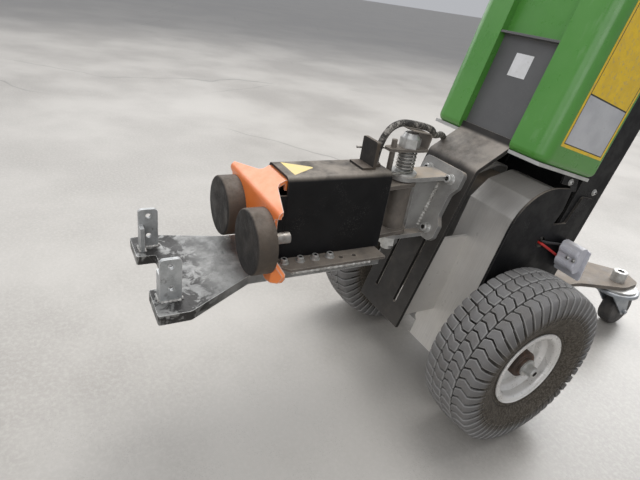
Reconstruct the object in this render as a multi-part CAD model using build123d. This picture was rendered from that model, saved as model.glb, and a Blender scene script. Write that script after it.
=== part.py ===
from build123d import *
import math
import os

# All lengths are millimetres. X runs across the tug, with the near side of the photo at plus X.
# Minus Y points to the coupling fork, Z is up and the floor is at zero.
# Every shape is drawn with the wheel axle over Y zero and moved by SHIFT when it is written out.

# Clearances: between pieces of two bodies, and radial play of a turning fit
SEAT = 0.3
RUN = 0.05

# Sheet and plate stock, with the rounding of a cut plate corner
SHEET = 3.0
PLATE = 6.0
HEAVY = 8.0
CORNER = 4.0

# Lean of the front plate and of the mast, in degrees from upright
PLATE_LEAN = 16.1
MAST_LEAN = 13.3

# Wheels: 4.10/3.50-4 tyres on a 4 inch steel rim
WHEEL_X = 165.0
TYRE_R = 138.0
TYRE_HALF = 49.4
TYRE_WALL = 9.0
TREAD_T = 12.0
CROWN_HALF = 21.5
SHOULDER_R = 133.2
SHOULDER_HALF = 43.0
WALL_R = 109.4
BEAD_R = 56.0
BEAD_WIDE = 13.5
BEAD_BEND = 3.0
RIM_HALF = 33.3
RIM_FLANGE_R = 65.0
RIM_ROLL_R = 1.8
RIM_SHEET = 2.6
RIM_WELL_R = 49.0
RIM_WELL_HALF = 13.0
DISC_IN = 2.0
HUB_R = 22.0
HUB_IN = 34.0
HUB_OUT = 30.0
HUB_RING_R = 16.0
HUB_RING_T = 4.0
AXLE_R = 10.0
AXLE_HEAD_R = 9.0
AXLE_HEAD_H = 10.0
WASHER_R = 14.0
WASHER_T = 2.5

# Front plate, with its height measured up the lean from its lower edge
FRONT_Y = -143.7
FRONT_Z = 139.9
FRONT_HALF = 52.2
FRONT_FOLD = 270.0
FRONT_BEND = 14.0
FRONT_LIP = 13.0
SLOT_X = 25.2
SLOT_LOW = 31.1
SLOT_HIGH = 256.0
SLOT_W = 7.0
WEB_OUT = 40.0
WEB_LOW_Z = 150.0
WEB_HIGH_Z = 285.0

# Drive casing: half width over the side cheeks, gap between the two wraps, and sheet of the wraps
CASE_HALF = 105.0
CHEEK_T = 4.0
CASE_GAP = 12.0
WRAP_T = 2.0
WRAP_NOTCH = 5.0
WRAP_NOTCH_Z = 112.0
DRIVE_ROOM = 14.0
DRIVE_HALF = 90.0

# Folds of the wraps seen from the side: y, z, bend radius
WRAP_FOLDS = [
    (-71.5, 85.0, 0),
    (-18.5, 341.0, 5),
    (9.0, 369.0, 5),
    (54.0, 382.0, 16),
    (77.0, 378.0, 6),
    (66.0, 322.0, 12),
    (66.0, 252.0, 0),
]

# Corners of a side cheek: y, z, rounding
CHEEK_CORNERS = [
    (-73.5, 86.0, 10),
    (-12.2, 391.5, 75),
    (84.6, 384.6, 5),
    (82.2, 349.6, 22),
    (70.8, 325.6, 2),
    (102.7, 325.0, 2),
    (121.0, 369.0, 6),
    (152.5, 362.5, 6),
    (92.0, 118.0, 12),
    (60.0, 86.0, 12),
]
WIRE_HOLE_Y = 58.0
WIRE_HOLE_Z = 298.0
WIRE_HOLE_R = 9.0

# Hood and mast, with depth and height measured from the bottom front edge of the hood
HOOD_Y = -22.0
HOOD_Z = 432.0
HOOD_HALF = 112.0
HOOD_DEPTH = 136.0
HOOD_HIGH = 440.0
HOOD_WALL = 4.0
HOOD_ROUND = 20.0
HOOD_EDGE = 10.0
HOOD_FLANGE = 20.0
LEG_PLAY = 0.5
RECESS = 12.0
RECESS_TOP = 380.0
WINDOW_TOP = 152.0
SHELF_T = 5.0
SHELF_EDGE = 4.0
BATTERY_PLAY = 5.0
BATTERY_HIGH = 330.0
MAST_HALF = 101.0
MAST_DEEP = 75.0
MAST_T = 4.0
MAST_BEND = 8.0
MAST_LOW = -262.0
MAST_HIGH = 500.0

# Handle above the mast: half width, rise over the mast and reach behind its middle at each bend
HANDLE_R = 14.0
HANDLE_BEND = 34.0
NECK_HALF_X = 60.0
NECK_UP = 45.0
ELBOW_HALF = 170.0
ELBOW_UP = 100.0
ELBOW_BACK = 17.0
GRIP_UP = 172.0
GRIP_BACK = 125.0
GRIP_LONG = 104.0
GRIP_T = 3.0
POST_HALF = 30.0
POST_DEEP = 36.0
HEAD_HALF = 70.0
HEAD_DEEP = 70.0
HEAD_HIGH = 62.0
HEAD_ROUND = 16.0

# Hinge between the chassis and the coupling arm
PIVOT_Y = -155.0
PIVOT_R = 9.0
EYE_R = 21.0
BRACKET_TOP_Z = 380.0
BRACKET_LOW_Z = 284.0
BRACKET_WEB = 10.0
BRACKET_WEB_Y = -131.0
FLANGE_SCREWS = [162.0, 243.0]
FLANGE_SCREW_R = 4.3

# Right half of the bracket's flange: x, height up the lean, rounding
FLANGE_CORNERS = [
    (36.0, 148.0, 7),
    (43.0, 155.0, 7),
    (43.0, 175.0, 6),
    (34.0, 188.0, 10),
    (34.0, 223.0, 10),
    (43.0, 236.0, 6),
    (43.0, 261.0, 8),
]
KNUCKLE_PLAY = 2.0
BARREL_R = 17.0
NUT_R = 15.0
NUT_LOW_H = 16.0
NUT_CONE_R = 9.5
NUT_CONE_H = 7.0
NUT_HEX_H = 13.0
BOLT_END = 8.0

# Self-centring mechanism on top of the hinge
SPRING_WASHER_R = 19.0
SPRING_WASHER_T = 4.0
SPRING_WIRE_R = 1.6
SPRING_MEAN_R = 11.9
SPRING_PITCH = 4.6
SPRING_TURNS = 6
SPRING_PAST = 6.0
KEEPER_T = 4.0
KEEPER_Z = 415.0
KEEPER_FRONT = -192.0
KEEPER_BACK = -131.0
KEEPER_HALF = 15.0
POST_Y = -182.0
POST_R = 4.0
POST_TOP = 430.0
STRAP_HALF = 15.0
STRAP_RISE = 20.5
STRAP_LIP = 34.0
STRAP_TILT = 5.0
STOP_Y = -222.0
STOP_T = 5.0
STOP_HALF = 17.0
STOP_HIGH = 37.0
STOP_FOOT = 16.0

# Coupling arm
ARM_HALF = 30.6
ARM_FRONT = -350.0
ARM_BACK = -197.0
ARM_LOW = 283.0
ARM_TOP = 394.0
ARM_BEND = 8.0
STRIP_OUT = 59.0
STRIP_FRONT = -360.0
STRIP_BACK = -203.0
STRIP_T = 4.0
STRIP_CUT = 13.0
STRIP_HOLE_X = 45.5
STRIP_HOLES_Y = [-267.0, -246.3]
STRIP_HOLE_R = 3.3

# Fork deck: two prongs, a step up to the arm and skirts all round
FORK_FRONT = -513.4
FORK_HALF = 89.5
PRONG_IN = 37.4
NOTCH_Y = -490.5
RAMP_Y = -478.0
NECK_Y = -400.0
NECK_HALF = 52.0
DECK_BACK = -205.0
DECK_TOP = 270.0
DECK_HIGH = 279.0
DECK_T = 5.0
SKIRT = 12.0
LUG_X = 65.3
LUG_FRONT = -506.5
LUG_BACK = -482.7
LUG_TOP = 323.1
LUG_T = 5.0
LUG_FOOT = 18.0
LUG_FOOT_TOP = 303.0
LUG_HOLE_R = 3.4
LUG_HOLE_Y = -494.4
LUG_HOLES_Z = [286.6, 314.1]

# Clamp with its two rubber buffers
CLAMP_Y = -383.0
CLAMP_T = 4.0
CLAMP_LOW = 270.0
CLAMP_FOLD_Z = 372.6
CLAMP_BEND = 8.0
EAR_HALF = 81.0
EAR_BACK = -377.5
THROAT_HALF = 31.0
THROAT_Y = -363.5
FOOT_X = 76.0
FOOT_TURN = 12.0
FOOT_TOP = 311.0
BUFFER_X = 51.6
BUFFER_Z = 326.0
BUFFER_R = 39.6
BUFFER_T = 24.2
BUFFER_EDGE = 3.0
STUD_R = 7.0
STUD_BACK = -352.0
TONGUE_HALF = 26.0
TONGUE_TOP = 389.5
TONGUE_LOW = 376.0
TONGUE_FRONT = -352.0
TONGUE_BACK = -250.0
TONGUE_BEND = 5.0
ROD_R = 8.0
ROD_Z = 335.0
ROD_BACK = -235.0
ACTUATOR_R = 17.0
ACTUATOR_FRONT = -330.0
ACTUATOR_BACK = -209.0
ACTUATOR_END = 16.0
SADDLE_Y = -240.0
SADDLE_T = 12.0

# Right half of the clamp plate seen from the front: x, z, rounding
CLAMP_CORNERS = [
    (EAR_HALF, 400.0, 1),
    (EAR_HALF, 366.5, 1),
    (72.0, 363.0, 4),
    (72.0, 342.0, 20),
    (79.0, 322.0, 12),
    (FOOT_X, FOOT_TOP, 3),
    (FOOT_X + 11, 293.0, 3),
    (FOOT_X + 7, 283.0, 3),
    (62.0, 278.4, 8),
    (40.0, 284.0, 8),
]

# Castor: bolt axis, wheel and trail behind the axis
CASTOR_X = 49.0
CASTOR_Y = 473.0
CASTOR_TOP = 113.0
CASTOR_WHEEL_R = 40.0
CASTOR_WHEEL_HALF = 15.0
CASTOR_EDGE = 5.0
CASTOR_TRAIL = 49.0
CASTOR_PIN_R = 5.0
CASTOR_BOLT_R = 10.0
CASTOR_HEAD_R = 15.0
CASTOR_HEAD_H = 19.0
RACE_R = 44.0
RACE_T = 4.0
SWIVEL_R = 51.0
SWIVEL_T = 7.0
SWIVEL_BEND = 3.0
CROWN_IN = 34.0
FORK_GAP = 3.0
FORK_T = 3.5
ARM_HOLE_R = 22.0
ARM_HOLE_X = -35.0
ARM_HOLE_Y = 392.0
BEAM_IN = 10.0
BEAM_DEEP = 34.0
BEAM_HIGH = 39.0

# Corners of the castor arm: x, y, rounding
CASTOR_ARM_CORNERS = [
    (-70.0, 64.0, 4),
    (30.0, 64.0, 4),
    (30.0, 362.0, 90),
    (78.0, 460.0, 40),
    (75.0, 512.0, 16),
    (30.0, 534.0, 24),
    (-84.0, 428.0, 30),
]

# Charging connector on the near side, with its bracket and two wires
PLUG_GAP = 8.0
PLUG_LONG = 34.0
PLUG_Y = 109.0
PLUG_DEEP = 18.0
PLUG_OVER_TYRE = 24.0
PLUG_TALL = 43.0
PLUG_ROUND = 5.0
PLUG_BORE_R = 5.5
PLUG_BORE_DEEP = 14.0
WIRE_R = 2.1
WIRE_OUT = 8.5
WIRE_UP = 11.0
BRACKET_DROP = 13.0
BRACKET_OUT = 47.0

# Cable over the hinge: up from the arm, over the keeper's lip and down beside the front plate.
# Each bend takes the same share of the shorter run beside it
CABLE_R = 4.8
CABLE_Y = -208.0
CABLE_DIP = 14.0
CABLE_SIDE_Y = -43.0
CABLE_SIDE_Z = 420.5
CABLE_DROP = 16.0
BEND_SHARE = 0.45

REAR_END = CASTOR_Y + CASTOR_TRAIL + CASTOR_WHEEL_R
SHIFT = -(FORK_FRONT + REAR_END) / 2


def leaning(y, z, lean):
    tilt = math.radians(lean)
    up = (0, math.sin(tilt), math.cos(tilt))
    return Location(Plane(origin=(0, y, z), x_dir=(1, 0, 0), z_dir=up))


# In these two frames Y is the depth behind the front face and Z the height up the lean
FRONT = leaning(FRONT_Y, FRONT_Z, PLATE_LEAN)
MAST = leaning(HOOD_Y, HOOD_Z, MAST_LEAN)


def side_point(frame, depth, up):
    place = (frame * Pos(0, depth, up)).position
    return (place.Y, place.Z)


def block(x0, x1, y0, y1, z0, z1):
    return Pos((x0 + x1) / 2, (y0 + y1) / 2, (z0 + z1) / 2) * Box(x1 - x0, y1 - y0, z1 - z0)


def rounded(corners):
    points = [corner[:2] for corner in corners]
    return make_face(FilletPolyline(*points, radius=[corner[2] for corner in corners], close=True))


def folded(folds, thickness, side):
    points = [fold[:2] for fold in folds]
    radii = [fold[2] for fold in folds[1:-1]]
    path = FilletPolyline(*points, radius=radii)
    return make_face(offset(path, amount=thickness, side=side, closed=True))


def both_halves(corners):
    return corners + [(-x, z, round_) for x, z, round_ in reversed(corners)]


def across(face, x0, x1):
    return extrude(Plane.YZ.offset(x0) * face, amount=x1 - x0)


def upward(face, z0, z1):
    return extrude(Plane.XY.offset(z0) * face, amount=z1 - z0)


def backward(face, y0, y1):
    return extrude(Plane.XZ.offset(-y0) * face, amount=-(y1 - y0))


def rod_x(x0, x1, y, z, r):
    return Pos((x0 + x1) / 2, y, z) * Rot(0, 90, 0) * Cylinder(r, abs(x1 - x0))


def rod_y(x, y0, y1, z, r):
    return Pos(x, (y0 + y1) / 2, z) * Rot(90, 0, 0) * Cylinder(r, abs(y1 - y0))


def rod_z(x, y, z0, z1, r):
    return Pos(x, y, (z0 + z1) / 2) * Cylinder(r, z1 - z0)


def pipe(path, radius):
    return sweep(Plane(origin=path @ 0, z_dir=path % 0) * Circle(radius), path=path)


def bent_route(points):
    corners = [Vector(*point) for point in points]
    runs = [end - start for start, end in zip(corners, corners[1:])]
    radii = []
    for run, following in zip(runs, runs[1:]):
        half_turn = math.radians(run.get_angle(following) / 2)
        radii.append(BEND_SHARE * min(run.length, following.length) / math.tan(half_turn))
    print("bend radii", [round(radius, 1) for radius in radii])
    return FilletPolyline(*points, radius=radii)


def pair(shape):
    return [shape, mirror(shape, about=Plane.YZ)]


def on_axle(face, side):
    whole = Pos(WHEEL_X, 0, TYRE_R) * revolve(Plane.XZ * face, axis=Axis.X)
    return whole if side > 0 else mirror(whole, about=Plane.YZ)


# Wheels

def tyre(side):
    heel = RIM_HALF
    inner_half = TYRE_HALF - TYRE_WALL
    right = [
        (CROWN_HALF, TYRE_R, 60),
        (SHOULDER_HALF, SHOULDER_R, 5),
        (TYRE_HALF, WALL_R, 25),
        (heel, RIM_FLANGE_R + CORNER, 8),
        (heel, BEAD_R, BEAD_BEND + 0.5),
        (heel - BEAD_WIDE, BEAD_R, 2),
        (heel - BEAD_WIDE, RIM_FLANGE_R, 5),
        (inner_half, WALL_R, 12),
        (inner_half - CORNER, SHOULDER_R - TREAD_T, 4),
    ]
    return [on_axle(rounded(both_halves(right)), side)]


def rim(side):
    lip_r = RIM_FLANGE_R - RIM_ROLL_R
    right = [(RIM_HALF, lip_r, 0), (RIM_HALF, BEAD_R, BEAD_BEND), (RIM_HALF - BEAD_WIDE, BEAD_R, BEAD_BEND),
             (RIM_WELL_HALF, RIM_WELL_R, 4)]
    left = [(-x, r, bend) for x, r, bend in reversed(right)]
    skin = folded(right + left, RIM_SHEET, Side.LEFT)
    for x in (RIM_HALF + RIM_ROLL_R, -RIM_HALF - RIM_ROLL_R):
        skin += Pos(x, lip_r) * Circle(RIM_ROLL_R)
    disc_r = RIM_WELL_R - RIM_SHEET
    disc = Pos(DISC_IN, (HUB_R + disc_r) / 2) * Rectangle(PLATE, disc_r - HUB_R)
    return [on_axle(skin + disc, side)]


def hub(side):
    bore = AXLE_R + RUN
    section = [
        (-HUB_IN, bore, 0.5),
        (-HUB_IN, HUB_R, 2),
        (HUB_OUT - HUB_RING_T, HUB_R, 3),
        (HUB_OUT - HUB_RING_T, HUB_RING_R, 0.5),
        (HUB_OUT, HUB_RING_R, 1),
        (HUB_OUT, bore, 0.5),
    ]
    return [on_axle(rounded(section), side)]


def axle_stubs():
    washer = WHEEL_X + HUB_OUT + SEAT
    head = washer + WASHER_T
    rod = rod_x(DRIVE_HALF, head, 0, TYRE_R, AXLE_R)
    rod += rod_x(washer, head, 0, TYRE_R, WASHER_R)
    rod += rod_x(head, head + AXLE_HEAD_H, 0, TYRE_R, AXLE_HEAD_R)
    return pair(rod)


# Drive casing and frame

def wrap_front_y(z):
    (y0, z0, _), (y1, z1, _) = WRAP_FOLDS[:2]
    return y0 + (z - z0) * (y1 - y0) / (z1 - z0)


def plate_back_y(z):
    tilt = math.radians(PLATE_LEAN)
    return FRONT_Y + (z - FRONT_Z) * math.tan(tilt) + PLATE / math.cos(tilt)


def front_plate():
    foot = RECESS - PLATE
    folds = [
        (*side_point(FRONT, 0, 0), 0),
        (*side_point(FRONT, 0, FRONT_FOLD), FRONT_BEND),
        (*side_point(MAST, foot, CORNER / 2), FRONT_BEND / 2),
        (*side_point(MAST, foot, FRONT_LIP), 0),
    ]
    plate = across(folded(folds, PLATE, Side.RIGHT), -FRONT_HALF, FRONT_HALF)
    slot = Pos(0, (SLOT_LOW + SLOT_HIGH) / 2) * Rot(0, 0, 90) * SlotOverall(SLOT_HIGH - SLOT_LOW, SLOT_W)
    cutter = backward(slot, -PLATE, 2 * PLATE)
    for x in (-SLOT_X, SLOT_X):
        plate -= FRONT * Pos(x, 0, 0) * cutter
    return [plate]


def plate_webs():
    low, high = WEB_LOW_Z, WEB_HIGH_Z
    web = make_face(Polyline((plate_back_y(low), low), (plate_back_y(high), high), (wrap_front_y(high), high),
                             (wrap_front_y(low), low), close=True))
    return pair(across(web, WEB_OUT - PLATE, WEB_OUT))


def casing_wraps():
    skin = across(folded(WRAP_FOLDS, WRAP_T, Side.RIGHT), CASE_GAP, CASE_HALF - CHEEK_T)
    low = WRAP_FOLDS[0][1]
    notch = make_face(Polyline((CASE_GAP, low), (CASE_GAP + WRAP_NOTCH, low), (CASE_GAP + WRAP_NOTCH, WRAP_NOTCH_Z),
                               (CASE_GAP, WRAP_NOTCH_Z + WRAP_NOTCH), close=True))
    return pair(skin - backward(notch, WRAP_FOLDS[0][0] - PLATE, 0))


def side_cheeks():
    cheek = across(rounded(CHEEK_CORNERS), CASE_HALF - CHEEK_T, CASE_HALF)
    cheek -= rod_x(0, 2 * CASE_HALF, 0, TYRE_R, AXLE_R)
    cheek -= rod_x(0, 2 * CASE_HALF, WIRE_HOLE_Y, WIRE_HOLE_Z, WIRE_HOLE_R)
    return pair(cheek)


def drive_unit():
    outline = [fold[:2] for fold in WRAP_FOLDS]
    room = offset(make_face(Polyline(*outline, (outline[-1][0], outline[0][1]), close=True)), amount=-DRIVE_ROOM)
    return [across(room, -DRIVE_HALF, DRIVE_HALF)]


def rear_beam():
    half = MAST_HALF - MAST_T
    base = CASTOR_TOP + HEAVY
    front, _ = side_point(MAST, HOOD_DEPTH, MAST_LOW)
    return [block(-half, half, front + BEAM_IN, front + BEAM_IN + BEAM_DEEP, base, base + BEAM_HIGH)]


def castor_arm():
    plate = upward(rounded(CASTOR_ARM_CORNERS), CASTOR_TOP, CASTOR_TOP + HEAVY)
    plate -= rod_z(ARM_HOLE_X, ARM_HOLE_Y, 0, 2 * CASTOR_TOP, ARM_HOLE_R)
    plate -= rod_z(CASTOR_X, CASTOR_Y, 0, 2 * CASTOR_TOP, CASTOR_BOLT_R)
    return [plate]


def castor_bolt():
    top = CASTOR_TOP + HEAVY
    race_low = CASTOR_TOP - RACE_T
    swivel_low = race_low - SEAT - SWIVEL_T
    bolt = rod_z(CASTOR_X, CASTOR_Y, top, top + CASTOR_HEAD_H, CASTOR_HEAD_R)
    bolt += rod_z(CASTOR_X, CASTOR_Y, swivel_low - SEAT, top, CASTOR_BOLT_R)
    bolt += rod_z(CASTOR_X, CASTOR_Y, swivel_low - SEAT - PLATE, swivel_low - SEAT, CASTOR_HEAD_R)
    race = rod_z(CASTOR_X, CASTOR_Y, race_low, CASTOR_TOP, RACE_R)
    race -= rod_z(CASTOR_X, CASTOR_Y, race_low, CASTOR_TOP, CASTOR_BOLT_R)
    return [bolt, race]


def castor_fork():
    top = CASTOR_TOP - RACE_T - SEAT
    low = top - SWIVEL_T
    dish = Pos(0, 0, (top + low) / 2) * Cylinder(SWIVEL_R, SWIVEL_T)
    dish = fillet(dish.edges().group_by(Axis.Z)[-1], SWIVEL_BEND)
    dish -= rod_z(0, 0, low, top, CASTOR_BOLT_R + RUN)
    eye = CASTOR_WHEEL_R / 3
    cheek = rounded([
        (-CROWN_IN, low, 3),
        (CROWN_IN, low, 3),
        (CASTOR_TRAIL + eye, CASTOR_WHEEL_R, eye * 0.8),
        (CASTOR_TRAIL, CASTOR_WHEEL_R - eye, eye * 0.8),
        (CASTOR_TRAIL - eye, CASTOR_WHEEL_R, eye * 0.8),
    ])
    out = CASTOR_WHEEL_HALF + FORK_GAP
    fork = dish + across(cheek, out, out + FORK_T) + across(cheek, -out - FORK_T, -out)
    fork += rod_x(-out - FORK_T - PLATE, out + FORK_T + PLATE, CASTOR_TRAIL, CASTOR_WHEEL_R, CASTOR_PIN_R)
    return [Pos(CASTOR_X, CASTOR_Y, 0) * fork]


def castor_wheel():
    bore = CASTOR_PIN_R + RUN
    section = rounded([
        (-CASTOR_WHEEL_HALF, bore, 0.5),
        (-CASTOR_WHEEL_HALF, CASTOR_WHEEL_R, CASTOR_EDGE),
        (CASTOR_WHEEL_HALF, CASTOR_WHEEL_R, CASTOR_EDGE),
        (CASTOR_WHEEL_HALF, bore, 0.5),
    ])
    wheel = revolve(Plane.XZ * section, axis=Axis.X)
    return [Pos(CASTOR_X, CASTOR_Y + CASTOR_TRAIL, CASTOR_WHEEL_R) * wheel]


# Hood and mast

def leg_in():
    return FRONT_HALF + LEG_PLAY


def hood_body(inset):
    half = HOOD_HALF - inset
    turn = HOOD_ROUND - inset
    profile = rounded([
        (-half, HOOD_DEPTH - inset, CORNER / 2),
        (-half, inset, turn),
        (half, inset, turn),
        (half, HOOD_DEPTH - inset, CORNER / 2),
    ])
    body = upward(profile, inset, HOOD_HIGH - inset)
    rims = body.edges().group_by(Axis.Z)
    front = [edge for edge in rims[0] + rims[-1] if edge.center().Y < HOOD_DEPTH - inset - CORNER]
    return fillet(front, HOOD_EDGE - inset)


def battery_hood():
    leg = leg_in()
    shell = hood_body(0)
    shell -= block(-leg, leg, -1, RECESS, -1, RECESS_TOP)
    wall = leg + HOOD_WALL
    room = hood_body(HOOD_WALL) - block(-wall, wall, 0, RECESS + HOOD_WALL, 0, RECESS_TOP + HOOD_WALL)
    shell -= room
    inner = HOOD_HALF - HOOD_FLANGE
    shell -= block(-leg, leg, 0, RECESS + HOOD_WALL, -1, WINDOW_TOP)
    shell -= block(-inner, inner, HOOD_FLANGE, HOOD_DEPTH - HOOD_FLANGE, -1, HOOD_WALL)
    shell -= block(-inner, inner, HOOD_DEPTH - HOOD_WALL, HOOD_DEPTH, HOOD_FLANGE, HOOD_HIGH - HOOD_FLANGE)
    return [MAST * shell]


def centre_cover():
    lip = WINDOW_TOP - SHEET - LEG_PLAY
    folds = [(RECESS, 0, 0), (RECESS, lip, 2), (LEG_PLAY, lip, 0)]
    return [MAST * across(folded(folds, SHEET, Side.RIGHT), -FRONT_HALF, FRONT_HALF)]


def battery_block():
    half = HOOD_HALF - HOOD_FLANGE - BATTERY_PLAY
    front = HOOD_FLANGE + BATTERY_PLAY
    back = HOOD_DEPTH - HOOD_FLANGE - BATTERY_PLAY
    return [MAST * block(-half, half, front, back, 0, BATTERY_HIGH)]


def hood_shelf():
    half = HOOD_HALF - SHELF_EDGE
    inside = MAST_HALF - MAST_T
    shelf = block(-half, half, RECESS, HOOD_DEPTH, -SHELF_T, 0)
    shelf += block(-inside, inside, HOOD_DEPTH, HOOD_DEPTH + MAST_DEEP - MAST_BEND, -SHELF_T, 0)
    for x0, x1 in ((-half, -leg_in()), (leg_in(), half)):
        shelf += block(x0, x1, SHELF_EDGE, RECESS, -SHELF_T, 0)
    return [MAST * shelf]


def mast_channel():
    back = HOOD_DEPTH + MAST_DEEP
    folds = [(-MAST_HALF, HOOD_DEPTH, 0), (-MAST_HALF, back, MAST_BEND), (MAST_HALF, back, MAST_BEND),
             (MAST_HALF, HOOD_DEPTH, 0)]
    return [MAST * upward(folded(folds, MAST_T, Side.RIGHT), MAST_LOW, MAST_HIGH)]


def mast_top():
    back = HOOD_DEPTH + MAST_DEEP
    cap = block(-MAST_HALF, MAST_HALF, HOOD_DEPTH, back, MAST_HIGH, MAST_HIGH + PLATE)
    return [MAST * fillet(cap.edges().filter_by(Axis.Z), CORNER)]


def mast_middle():
    return HOOD_DEPTH + MAST_DEEP / 2


def handle_tube():
    middle = mast_middle()
    right = [
        (NECK_HALF_X, middle, MAST_HIGH + NECK_UP),
        (ELBOW_HALF, middle + ELBOW_BACK, MAST_HIGH + ELBOW_UP),
        (ELBOW_HALF, middle + GRIP_BACK, MAST_HIGH + GRIP_UP),
    ]
    left = [(-x, d, s) for x, d, s in reversed(right)]
    return pipe(FilletPolyline(*left, *right, radius=HANDLE_BEND), HANDLE_R)


def handle_bar():
    middle = mast_middle()
    post = block(-POST_HALF, POST_HALF, middle - POST_DEEP / 2, middle + POST_DEEP / 2,
                 MAST_HIGH + PLATE, MAST_HIGH + NECK_UP)
    return [MAST * (handle_tube() + post)]


def grips():
    middle = mast_middle()
    end = Vector(ELBOW_HALF, middle + GRIP_BACK, MAST_HIGH + GRIP_UP)
    elbow = Vector(ELBOW_HALF, middle + ELBOW_BACK, MAST_HIGH + ELBOW_UP)
    along = (end - elbow).normalized()
    start = end - along * (GRIP_LONG - GRIP_T)
    sleeve = pipe(Line(start, end + along * GRIP_T), HANDLE_R + GRIP_T)
    sleeve = fillet(sleeve.edges().filter_by(GeomType.CIRCLE), GRIP_T / 2)
    sleeve -= pipe(Line(start, end), HANDLE_R)
    return [MAST * grip for grip in pair(sleeve)]


def control_head():
    middle = mast_middle()
    low = MAST_HIGH + NECK_UP
    head = block(-HEAD_HALF, HEAD_HALF, middle - HEAD_DEEP / 2, middle + HEAD_DEEP / 2, low, low + HEAD_HIGH)
    head = fillet(head.edges().filter_by(Axis.Z), HEAD_ROUND)
    head = fillet(head.edges().group_by(Axis.Z)[-1], HEAD_ROUND / 2)
    return [MAST * (head - handle_tube())]


# Hinge and self-centring mechanism

def flange_front_y(z):
    return plate_back_y(z) - (PLATE + HEAVY) / math.cos(math.radians(PLATE_LEAN))


def eye_plate(z, back):
    eye = upward(Circle(EYE_R), z, z + PLATE)
    return Pos(0, PIVOT_Y, 0) * (eye + block(-EYE_R, EYE_R, 0, back, z, z + PLATE))


def hinge_bracket():
    flange = FRONT * backward(rounded(both_halves(FLANGE_CORNERS)), -HEAVY, 0)
    for up in FLANGE_SCREWS:
        for x in (-SLOT_X, SLOT_X):
            flange -= FRONT * rod_y(x, -2 * HEAVY, HEAVY, up, FLANGE_SCREW_R)
    low, high = BRACKET_LOW_Z, BRACKET_TOP_Z - PLATE
    web = make_face(Polyline((flange_front_y(low), low), (flange_front_y(high), high), (BRACKET_WEB_Y, high),
                             (BRACKET_WEB_Y, low + PLATE), close=True))
    body = across(web, -BRACKET_WEB / 2, BRACKET_WEB / 2)
    for z in (low, high):
        body += eye_plate(z, flange_front_y(z) - PIVOT_Y + HEAVY)
    body -= FRONT * block(-2 * EYE_R, 2 * EYE_R, -HEAVY, FRONT_FOLD, 0, FRONT_FOLD * 2)
    body += flange
    return [body - rod_z(0, PIVOT_Y, 0, ARM_TOP, PIVOT_R)]


def arm_knuckles():
    web = ARM_HALF - SHEET
    plan = make_face(Polyline((-EYE_R, PIVOT_Y), (EYE_R, PIVOT_Y), (web, ARM_BACK - 2 * PLATE),
                              (-web, ARM_BACK - 2 * PLATE), close=True))
    top = BRACKET_TOP_Z - PLATE - KNUCKLE_PLAY - PLATE
    low = BRACKET_LOW_Z + PLATE + KNUCKLE_PLAY
    knuckles = rod_z(0, PIVOT_Y, low, top, BARREL_R)
    for z in (top, low):
        knuckles += upward(plan, z, z + PLATE) + rod_z(0, PIVOT_Y, z, z + PLATE, EYE_R)
    return [knuckles - rod_z(0, PIVOT_Y, 0, ARM_TOP, PIVOT_R + RUN)]


def pivot_bolt():
    nut_z = KEEPER_Z + KEEPER_T
    cone_z = nut_z + NUT_HEX_H
    bolt = rod_z(0, 0, BRACKET_LOW_Z - NUT_LOW_H - BOLT_END, cone_z + NUT_CONE_H, PIVOT_R)
    bolt += upward(RegularPolygon(NUT_R, 6), BRACKET_LOW_Z - NUT_LOW_H, BRACKET_LOW_Z)
    bolt += upward(RegularPolygon(NUT_R, 6), nut_z, cone_z)
    bolt += Pos(0, 0, cone_z + NUT_CONE_H / 2) * Cone(NUT_R * math.cos(math.pi / 6), NUT_CONE_R, NUT_CONE_H)
    bolt += rod_z(0, 0, BRACKET_TOP_Z, BRACKET_TOP_Z + SPRING_WASHER_T, SPRING_WASHER_R)
    return [Pos(0, PIVOT_Y, 0) * bolt]


def centring_spring():
    low = BRACKET_TOP_Z + SPRING_WASHER_T + SPRING_WIRE_R + RUN
    coil = Helix(pitch=SPRING_PITCH, height=SPRING_PITCH * SPRING_TURNS, radius=SPRING_MEAN_R)
    start, end = coil @ 0, coil @ 1
    reach = PIVOT_Y - STOP_Y + SPRING_PAST
    spread = STOP_HALF + 2 * SPRING_WIRE_R + SEAT
    spring = pipe(coil, SPRING_WIRE_R)
    spring += pipe(Line((spread, -reach, start.Z), (start.X, start.Y, start.Z)), SPRING_WIRE_R)
    spring += pipe(Line((-spread, -reach, end.Z), (-end.X, end.Y, end.Z)), SPRING_WIRE_R)
    return [Pos(0, PIVOT_Y, low) * spring]


def keeper():
    low = KEEPER_Z
    plan = rounded([
        (-KEEPER_HALF, KEEPER_BACK, 2),
        (-KEEPER_HALF, PIVOT_Y, 20),
        (-POST_R - CORNER, KEEPER_FRONT, 4),
        (POST_R + CORNER, KEEPER_FRONT, 4),
        (KEEPER_HALF, PIVOT_Y, 20),
        (KEEPER_HALF, KEEPER_BACK, 2),
    ])
    plate = upward(plan, low, low + KEEPER_T)
    plate -= rod_z(0, PIVOT_Y, low, low + KEEPER_T, PIVOT_R)
    strap = folded([
        (KEEPER_BACK - CORNER, low + KEEPER_T, 0),
        (KEEPER_BACK, low + KEEPER_T + STRAP_RISE, 5),
        (KEEPER_BACK - STRAP_LIP, low + KEEPER_T + STRAP_RISE + STRAP_TILT, 0),
    ], SHEET / 2, Side.RIGHT)
    plate += across(strap, -STRAP_HALF, STRAP_HALF)
    post = rod_z(0, POST_Y, BRACKET_TOP_Z, POST_TOP, POST_R)
    return [plate + post]


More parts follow.
